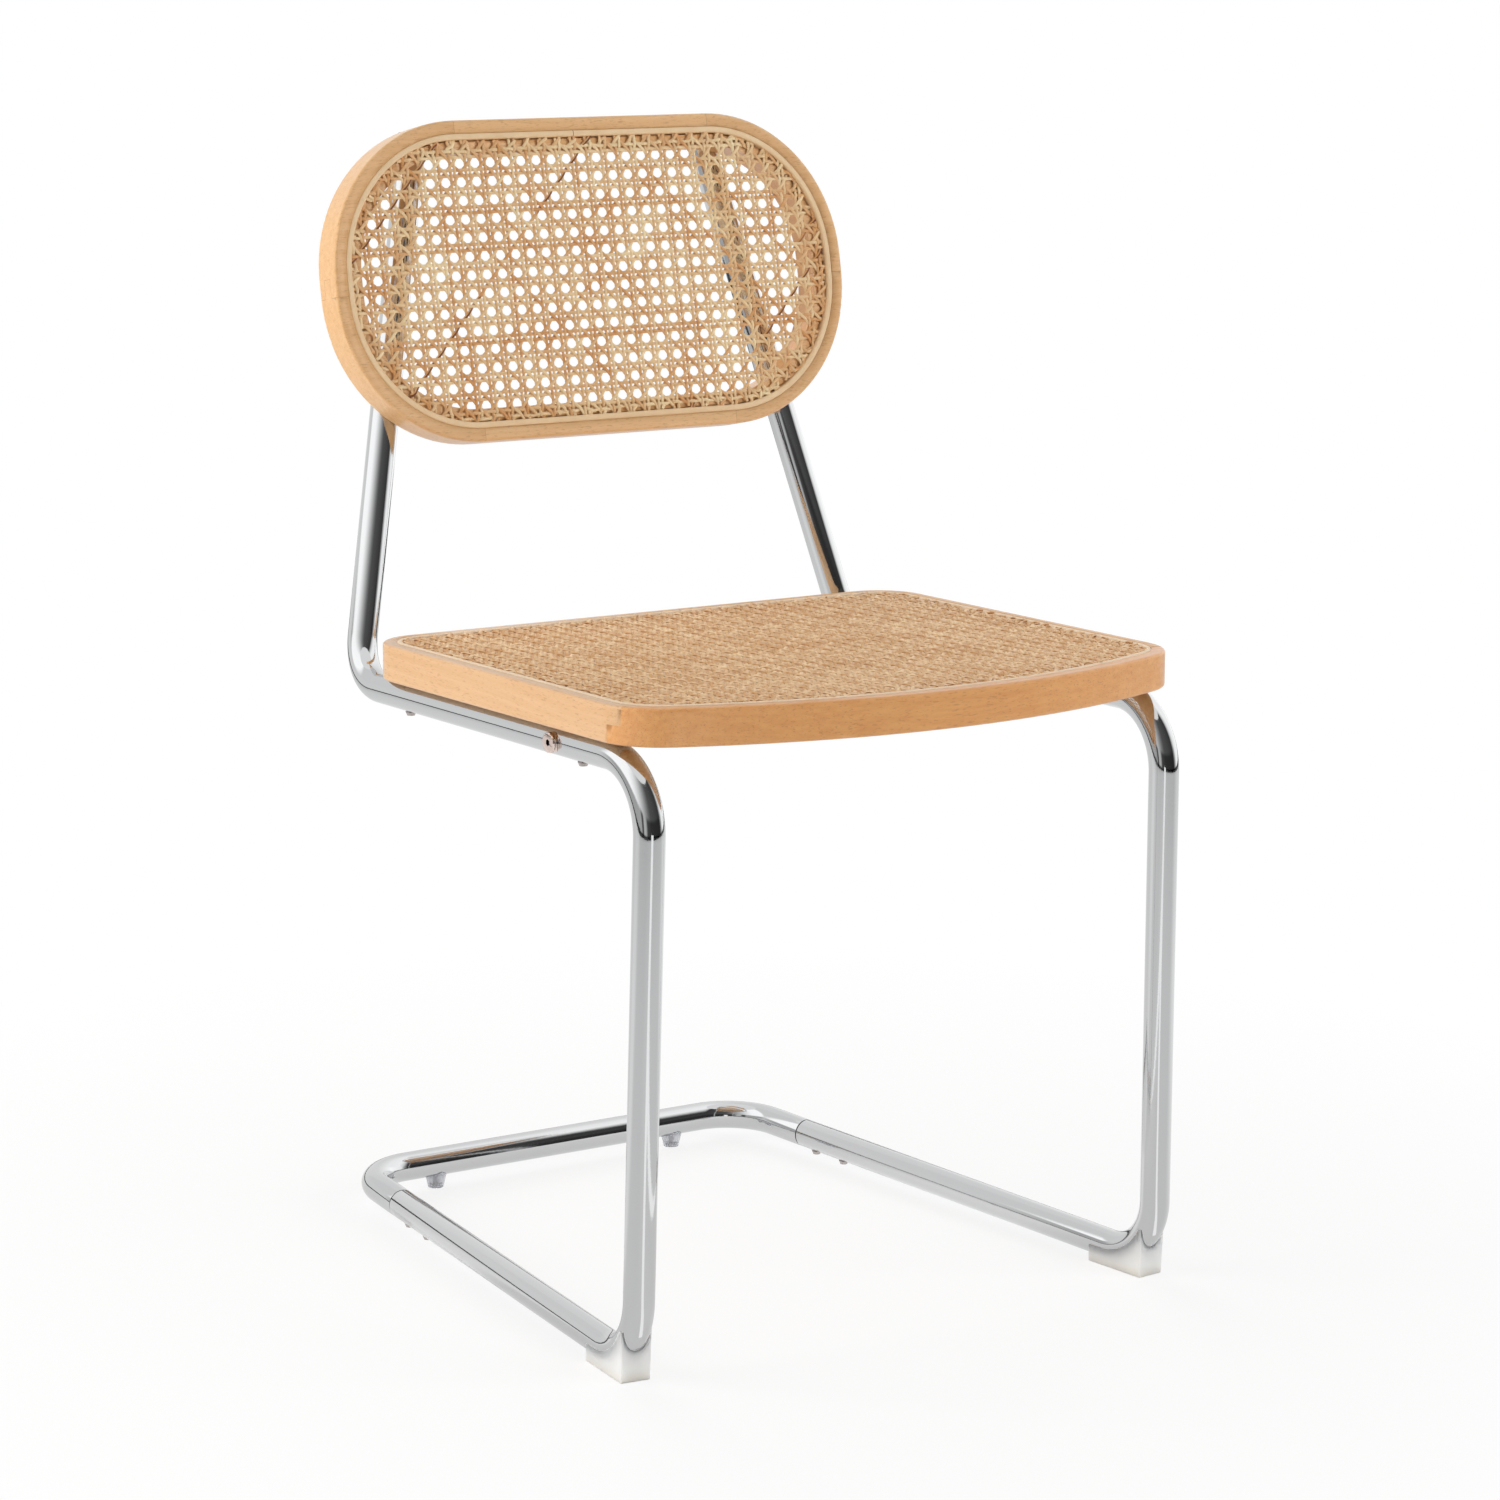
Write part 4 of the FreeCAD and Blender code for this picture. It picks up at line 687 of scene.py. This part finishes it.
def cane_strands(material):
    """A tree that lays one set of parallel strands over a panel's outline, cuts them at its edge,
    weaves them over and under the others, stirs them near the rim and gives them a lens's section."""
    tree, sizes = new_tree("cane_strands", [
        ("First", "NodeSocketVector"), ("Strand Spacing", "NodeSocketVector"), ("Strands", "NodeSocketInt"),
        ("Step", "NodeSocketVector"), ("Steps", "NodeSocketInt"), ("Cell", "NodeSocketVector"),
        ("Twin Weave", "NodeSocketFloat"), ("Slant Weave", "NodeSocketFloat"),
        ("Strand Width", "NodeSocketFloat"), ("Strand Thickness", "NodeSocketFloat"),
        ("Strand Sides", "NodeSocketInt"), ("Seed", "NodeSocketInt"), ("Rim Reach", "NodeSocketFloat"),
        ("Rim Stir", "NodeSocketVector")])
    outline, spot = sizes["Geometry"], place(tree, "GeometryNodeInputPosition").outputs[0]

    starts = place(tree, "GeometryNodeMeshLine",
                   {"Count": sizes["Strands"], "Start Location": sizes["First"],
                    "Offset": sizes["Strand Spacing"]}, mode="OFFSET")
    one = place(tree, "GeometryNodeMeshLine", {"Count": sizes["Steps"], "Offset": sizes["Step"]},
                mode="OFFSET")
    rows = place(tree, "GeometryNodeInstanceOnPoints", {"Points": starts.outputs[0],
                                                        "Instance": one.outputs[0]})
    index = place(tree, "GeometryNodeInputIndex").outputs[0]
    tone = place(tree, "FunctionNodeRandomValue", {"ID": index, "Seed": sizes["Seed"]}, data_type="FLOAT")
    toned = place(tree, "GeometryNodeStoreNamedAttribute",
                  {"Geometry": rows.outputs[0], "Name": "strand_tone", "Value": tone.outputs[1]},
                  data_type="FLOAT", domain="INSTANCE")
    loose = place(tree, "GeometryNodeRealizeInstances", {"Geometry": toned.outputs[0]})

    probe = place(tree, "GeometryNodeRaycast", {"Target Geometry": outline, "Source Position": spot,
                                                "Ray Direction": (0, 0, -1), "Ray Length": 1.0})
    outside = place(tree, "FunctionNodeBooleanMath", {0: probe.outputs["Is Hit"]}, operation="NOT")
    kept = place(tree, "GeometryNodeDeleteGeometry", {"Geometry": loose.outputs[0],
                                                      "Selection": outside.outputs[0]}, domain="POINT")

    cell = vector(tree, "DOT_PRODUCT", spot, sizes["Cell"])
    turn = number(tree, "MULTIPLY", cell, 2 * math.pi)
    twin_wave = number(tree, "ADD", number(tree, "SINE", turn),
                       number(tree, "SINE", number(tree, "MULTIPLY", cell, 4 * math.pi)))
    rise = number(tree, "ADD", number(tree, "MULTIPLY", twin_wave, sizes["Twin Weave"]),
                  number(tree, "MULTIPLY", number(tree, "COSINE", turn), sizes["Slant Weave"]))
    lift = place(tree, "ShaderNodeCombineXYZ", {"Z": rise})
    woven = place(tree, "GeometryNodeSetPosition", {"Geometry": kept.outputs[0], "Offset": lift.outputs[0]})

    rim = place(tree, "GeometryNodeProximity", {"Geometry": outline}, target_element="EDGES")
    to_rim = vector(tree, "MULTIPLY", vector(tree, "SUBTRACT", rim.outputs["Position"], spot), (1, 1, 0))
    nearness = fade(tree, vector(tree, "LENGTH", to_rim), end=sizes["Rim Reach"], low=1.0, high=0.0)
    woven = place(tree, "GeometryNodeSetPosition", {"Geometry": woven.outputs[0],
                                                    "Offset": stirred(tree, nearness, sizes, spot)})

    paths = place(tree, "GeometryNodeMeshToCurve", {"Mesh": woven.outputs[0]})
    flat = place(tree, "GeometryNodeSetCurveNormal", {"Curve": paths.outputs[0]}, mode="Z_UP")
    run = place(tree, "GeometryNodeSplineParameter")
    measured = place(tree, "GeometryNodeStoreNamedAttribute",
                     {"Geometry": flat.outputs[0], "Name": "strand_length", "Value": run.outputs["Length"]},
                     data_type="FLOAT", domain="POINT")
    circle = place(tree, "GeometryNodeCurvePrimitiveCircle", {"Resolution": sizes["Strand Sides"],
                                                              "Radius": 0.5})
    flattening = place(tree, "ShaderNodeCombineXYZ", {"X": sizes["Strand Width"],
                                                      "Y": sizes["Strand Thickness"], "Z": 1.0})
    lens = place(tree, "GeometryNodeTransform", {"Geometry": circle.outputs[0],
                                                 "Scale": flattening.outputs[0]})
    sideways = place(tree, "ShaderNodeSeparateXYZ", {0: spot})
    section = place(tree, "GeometryNodeStoreNamedAttribute",
                    {"Geometry": lens.outputs[0], "Name": "strand_side", "Value": sideways.outputs["X"]},
                    data_type="FLOAT", domain="POINT")
    ribbon = place(tree, "GeometryNodeCurveToMesh", {"Curve": measured.outputs[0],
                                                     "Profile Curve": section.outputs[0], "Fill Caps": True})
    end_tree(tree, ribbon.outputs[0], material)
    return tree


def arc(centre, radius, start, end):
    """Points along a round stretch, from one angle to another in degrees."""
    angles = [math.radians(start + (end - start) * i / ARC_STEPS) for i in range(ARC_STEPS + 1)]
    return [(centre[0] + radius * math.cos(a), centre[1] + radius * math.sin(a)) for a in angles]


def seat_outline(inset):
    """The seat's outline seen from above, drawn in by an inset; Y runs back from the leg line."""
    half, rear = SEAT_HALF_WIDTH - inset, SEAT_REAR_REACH - inset
    bow, corner, back_corner = SEAT_FRONT_RADIUS - inset, SEAT_FRONT_CORNER - inset, SEAT_REAR_CORNER - inset
    bow_centre = SEAT_FRONT_RADIUS - SEAT_FRONT_REACH
    turn_x = half - corner
    turn_y = bow_centre - math.sqrt((bow - corner) ** 2 - turn_x ** 2)
    lean = math.degrees(math.asin(turn_x / (bow - corner)))
    left = arc((-half + back_corner, rear - back_corner), back_corner, 90, 180)
    left += arc((-turn_x, turn_y), corner, 180, 270 - lean)
    front = arc((0, bow_centre), bow, 270 - lean, 270 + lean)[1:-1]
    return left + front + [(-x, y) for x, y in reversed(left)]


def back_outline(inset):
    """The backrest's racetrack seen from the front, drawn in by an inset."""
    corner = BACK_CORNER - inset
    side, top = BACK_HALF_LENGTH - BACK_CORNER, BACK_HALF_HEIGHT - BACK_CORNER
    return (arc((side, top), corner, 0, 90) + arc((-side, top), corner, 90, 180)
            + arc((-side, -top), corner, 180, 270) + arc((side, -top), corner, 270, 360))


def strand_sets(reach_x, reach_y, rise):
    """The sizes of each set of parallel strands over a panel that reaches this far from its middle:
    the twins up, the twins across and the two sets of slanting ones, by family."""
    px, py = CANE_PITCH
    columns, rows = math.ceil(reach_x / px) + 1, math.ceil(reach_y / py) + 1
    slants = columns + rows
    step_x, step_y = px / STEPS_PER_CELL, py / STEPS_PER_CELL
    up_steps, across_steps = 2 * rows * STEPS_PER_CELL + 1, 2 * columns * STEPS_PER_CELL + 1
    families = {
        "up": [{"first": (sign * TWIN_HALF_GAP.x - columns * px, -rows * py, 0),
                "strand_spacing": (px, 0, 0), "strands": 2 * columns + 1, "step": (0, step_y, 0),
                "steps": up_steps, "cell": (0, 1 / py, 0), "twin_weave": sign * rise,
                "slant_weave": 0.0} for sign in (-1, 1)],
        "across": [{"first": (-columns * px, sign * TWIN_HALF_GAP.y - rows * py, 0),
                    "strand_spacing": (0, py, 0), "strands": 2 * rows + 1, "step": (step_x, 0, 0),
                    "steps": across_steps, "cell": (1 / px, 0, 0), "twin_weave": -sign * rise,
                    "slant_weave": 0.0} for sign in (-1, 1)]}
    for family, sign in (("slant_left", -1), ("slant_right", 1)):
        families[family] = [{"first": (-sign * rows * px - (slants + 0.5) * px, -rows * py, 0),
                             "strand_spacing": (px, 0, 0), "strands": 2 * slants + 2,
                             "step": (sign * step_x, step_y, 0), "steps": up_steps,
                             "cell": (1 / px, 0, 0), "twin_weave": 0.0, "slant_weave": sign * 2 * rise}]
    return families


def weave(name, outline, place_at, level, middle, turn, thickness, skins, node, seed):
    """All strands of one panel, one piece for each family. The second skin is the one of the
    strands that slant to the right."""
    turned = Matrix.Translation((*middle, level)) @ Matrix.Rotation(turn, 4, "Z")
    edge = [turned.inverted() @ Vector((x, y, level - OUTLINE_BELOW)) for x, y in outline]
    families = strand_sets(max(point.x for point in edge), max(point.y for point in edge), thickness / 2)
    pieces = []
    for family, sets in families.items():
        form = bmesh.new()
        for index, sizes in enumerate(sets):
            area = bpy.data.meshes.new(name + "_area")
            area.from_pydata([tuple(point) for point in edge], [], [range(len(edge))])
            part = grow(new_object(name + "_area", area), strands, **sizes, strand_width=STRAND_WIDTH,
                        strand_thickness=thickness * STRAND_BULGE, strand_sides=STRAND_SIDES,
                        rim_reach=RIM_REACH, rim_stir=RIM_STIR, seed=seed + 10 * len(pieces) + index)
            form.from_mesh(part.data)
            bpy.data.objects.remove(part)
        mesh = as_mesh(f"{name}_{family}", form)
        mesh.materials.clear()
        mesh.materials.append(skins[family == "slant_right"])
        mesh.transform(place_at @ turned)
        for polygon in mesh.polygons:
            polygon.use_smooth = True
        mesh.set_sharp_from_angle(angle=STRAND_CREASE)
        piece = new_object(f"{name}_{family}", mesh)
        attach(piece, "root")
        pieces.append(piece)
    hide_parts(node)


# The seat's small patches, about a cell across, are partly tone drift and partly painted light and shade:
# strand crests catching the light and dips lying in shade.
seat_cane = rattan("seat_cane", pale=(255, 224, 181), deep=(222, 172, 118), strand_share=0.35,
                   patch_scale=130.0, tone_range=0.22)
back_cane = rattan("back_cane", **BACK_CANE_LOOK)
marked_cane = rattan("marked_cane", **BACK_CANE_LOOK, marked=True)
strands = cane_strands(seat_cane)
seat_place = Matrix.Translation(Vector((0, LEG_LINE_Y, RAIL_FRONT_HEIGHT))
                                + rail_normal * FRAME_OFF_TUBE) @ Matrix.Rotation(-SEAT_SLOPE, 4, "X")
back_place = Matrix.Translation(back_origin) @ Matrix.Rotation(math.radians(90) - UPRIGHT_LEAN, 4, "X")
seat_middle = (0.0, (SEAT_REAR_REACH - SEAT_FRONT_REACH) / 2)
weave("seat_cane_weave", seat_outline(STRAND_END), seat_place, SEAT_THICKNESS - SEAT_CANE_DEPTH,
      seat_middle, 0.0, SEAT_STRAND_THICKNESS, (seat_cane, seat_cane), "seat_cane", seed=3)
weave("back_cane_weave", back_outline(STRAND_END), back_place, BACK_THICKNESS - BACK_CANE_DEPTH,
      BACK_CANE_SHIFT, BACK_CANE_TURN, BACK_STRAND_THICKNESS, (back_cane, marked_cane), "backrest_cane",
      seed=11)


# Glides: milky moulded blocks, pegged into the tube under the front bends, and clear tapered cups,
# screwed to the rear tube from below. The chair stands on these four.
GLIDE_TINTED_HEIGHT = 9 * MM


def milky_plastic():
    """Cloudy white plastic that light goes into, a little warmer near the floor."""
    material, tree = new_material("milky_plastic")
    cloud = noise(tree, here(tree), scale=70.0, detail=3.0)
    tint = mix(tree, cloud, srgb(250, 249, 246), srgb(242, 240, 236))
    low = fade(tree, axes(tree)["Z"], end=GLIDE_TINTED_HEIGHT, low=1.0, high=0.0)
    surface(tree, "ShaderNodeBsdfPrincipled",
            {"Base Color": mix(tree, low, tint, srgb(250, 238, 224)), "Roughness": 0.42,
             "Subsurface Weight": 1.0, "Subsurface Scale": 12 * MM, "Subsurface Radius": (1.0, 0.95, 0.9)})
    return material


def clear_plastic():
    """Clear soft plastic with a slightly uneven gloss."""
    material, tree = new_material("clear_plastic")
    cloud = noise(tree, here(tree), scale=90.0, detail=2.0)
    surface(tree, "ShaderNodeBsdfPrincipled",
            {"Base Color": srgb(236, 238, 244), "IOR": 1.46, "Transmission Weight": 0.55,
             "Roughness": fade(tree, cloud, low=0.12, high=0.24)})
    return material


milky, clear = milky_plastic(), clear_plastic()
for name, node, plastic, slot in (
        ("left_front_foot", "front_glide_left", milky, "white_glide"),
        ("right_front_foot", "front_glide_right", milky, "white_glide"),
        ("left_rear_cup", "rear_glide_left", clear, "clear_glide"),
        ("right_rear_cup", "rear_glide_right", clear, "clear_glide")):
    glide = refined(name, node)
    glide.data.materials.append(plastic)


# Fasteners and inner steel: bright pan-head screws, disc-headed bolts and saddle washers. A hexagon
# socket is cut into the head of each bolt and of each sleeve, seat and backrest screw, but not of the
# cup screws. The sleeves, the inserts and the stretcher that the bolts clamp are plain steel.
SCREW_HEAD_HEIGHT, SOCKET_DEPTH, SKIN_DEPTH = 2.8 * MM, 1.6 * MM, 0.05 * MM
SCREW_SOCKET, BOLT_SOCKET, BOLT_FACE = 2.6 * MM, 5 * MM, Vector((-234.4, -113.2, 429.3)) * MM
SLEEVE_SCREWS, SEAT_SCREWS, BACK_SCREWS = (14 * MM, 47 * MM), (85 * MM, 320 * MM), (205 * MM, 399 * MM)


def steel(name, colour, smooth, rough):
    """Machined metal with turning marks that vary its gloss."""
    material, tree = new_material(name)
    marks = noise(tree, here(tree), scale=900.0, detail=3.0)
    surface(tree, "ShaderNodeBsdfPrincipled", {"Base Color": colour, "Metallic": 1.0,
                                               "Roughness": fade(tree, marks, low=smooth, high=rough)})
    return material


def hex_sockets(piece, faces, size):
    """Cut a hexagon socket into each head, given by the middle of its face and the way in, and into
    its twin on the other side of the chair. Its walls and floor take nearly black steel: painted shade."""
    faces = faces + [(across(spot), across(inward)) for spot, inward in faces]
    form = bmesh.new()
    for spot, inward in faces:
        facing = Matrix.Translation(spot) @ inward.to_track_quat("Z", "Y").to_matrix().to_4x4()
        bmesh.ops.create_cone(form, cap_ends=True, segments=6, radius1=size / 2, radius2=size / 2,
                              depth=2 * SOCKET_DEPTH, matrix=facing)
    cutter = new_object("socket_cutter", as_mesh("socket_cutter", form))
    piece.modifiers.clear()
    cut = piece.modifiers.new("sockets", "BOOLEAN")
    cut.object, cut.operation, cut.solver = cutter, "DIFFERENCE", "EXACT"
    piece.data = plain_mesh(piece)
    piece.modifiers.clear()
    bpy.data.objects.remove(cutter)
    piece.data.materials.append(socket_steel)
    for face in piece.data.polygons:
        for spot, inward in faces:
            depth = (face.center - spot).dot(inward)
            off_axis = (face.center - spot - inward * depth).length
            if SKIN_DEPTH < depth < SOCKET_DEPTH + SKIN_DEPTH and off_axis < size / 2 + SKIN_DEPTH:
                face.material_index = 1
    piece.data.set_sharp_from_angle(angle=CREASE)
    piece.modifiers.new("even_normals", "WEIGHTED_NORMAL").keep_sharp = True


nickel = steel("nickel", (0.86, 0.71, 0.64, 1), 0.08, 0.18)
# The screws' steel is a darker copy of the nickel: painted shade and painted dark reflections on heads
# tucked under the tubes and rails.
screw_steel = steel("screw_steel", (0.5, 0.45, 0.43, 1), 0.12, 0.22)
# Nearly black: painted shade inside the hexagon sockets.
socket_steel = steel("socket_steel", (0.05, 0.04, 0.035, 1), 0.4, 0.6)
plain_steel = steel("plain_steel", (0.52, 0.53, 0.54, 1), 0.3, 0.5)
floor_down = (floor_along * floor_along.z - Vector((0, 0, 1))).normalized()
head_reach = TUBE_RADIUS + SCREW_HEAD_HEIGHT
heads = {
    "stretcher_bolts": ([(BOLT_FACE, X_AXIS)], BOLT_SOCKET),
    "base_joint_screws": ([(seam - floor_along * ahead_by + floor_down * head_reach, -floor_down)
                           for ahead_by in SLEEVE_SCREWS], SCREW_SOCKET),
    "seat_screws": ([(leg_top + rail_along * back_by - rail_normal * head_reach, rail_normal)
                     for back_by in SEAT_SCREWS], SCREW_SOCKET),
    "backrest_screws": ([(rail_rear + upright_along * up_by - back_normal * head_reach, back_normal)
                         for up_by in BACK_SCREWS], SCREW_SOCKET)}
for name, node, finish, slot in (
        ("sleeve_screws", "base_joint_screws", screw_steel, "nickel"),
        ("cup_screws", "rear_glide_screws", screw_steel, "nickel"),
        ("seat_fixing_screws", "seat_screws", screw_steel, "nickel"),
        ("back_fixing_screws", "backrest_screws", screw_steel, "nickel"),
        ("disc_bolts", "stretcher_bolts", nickel, "nickel"),
        ("saddle_washers", "stretcher_washers", nickel, "nickel"),
        ("left_sleeve", "base_joint_sleeve_left", plain_steel, "plain_steel"),
        ("right_sleeve", "base_joint_sleeve_right", plain_steel, "plain_steel"),
        ("threaded_inserts", "stretcher_inserts", plain_steel, "plain_steel"),
        ("cross_tube", "seat_stretcher", plain_steel, "plain_steel")):
    part = refined(name, node)
    part.data.materials.append(finish)
    if node in heads:
        hex_sockets(part, *heads[node])


# End plugs: black moulded plastic, pressed into the open upper ends of the uprights behind the
# backrest.
def black_plastic():
    """Matt black plastic with a fine mottle."""
    material, tree = new_material("black_plastic")
    mottle = noise(tree, here(tree), scale=400.0, detail=2.0)
    surface(tree, "ShaderNodeBsdfPrincipled", {"Base Color": grey(0.02),
                                               "Roughness": fade(tree, mottle, low=0.3, high=0.5)})
    return material


black = black_plastic()
for name, node in (("left_plug", "upright_plug_left"), ("right_plug", "upright_plug_right")):
    plug = refined(name, node)
    plug.data.materials.append(black)

scene.view_settings.view_transform = "Standard"
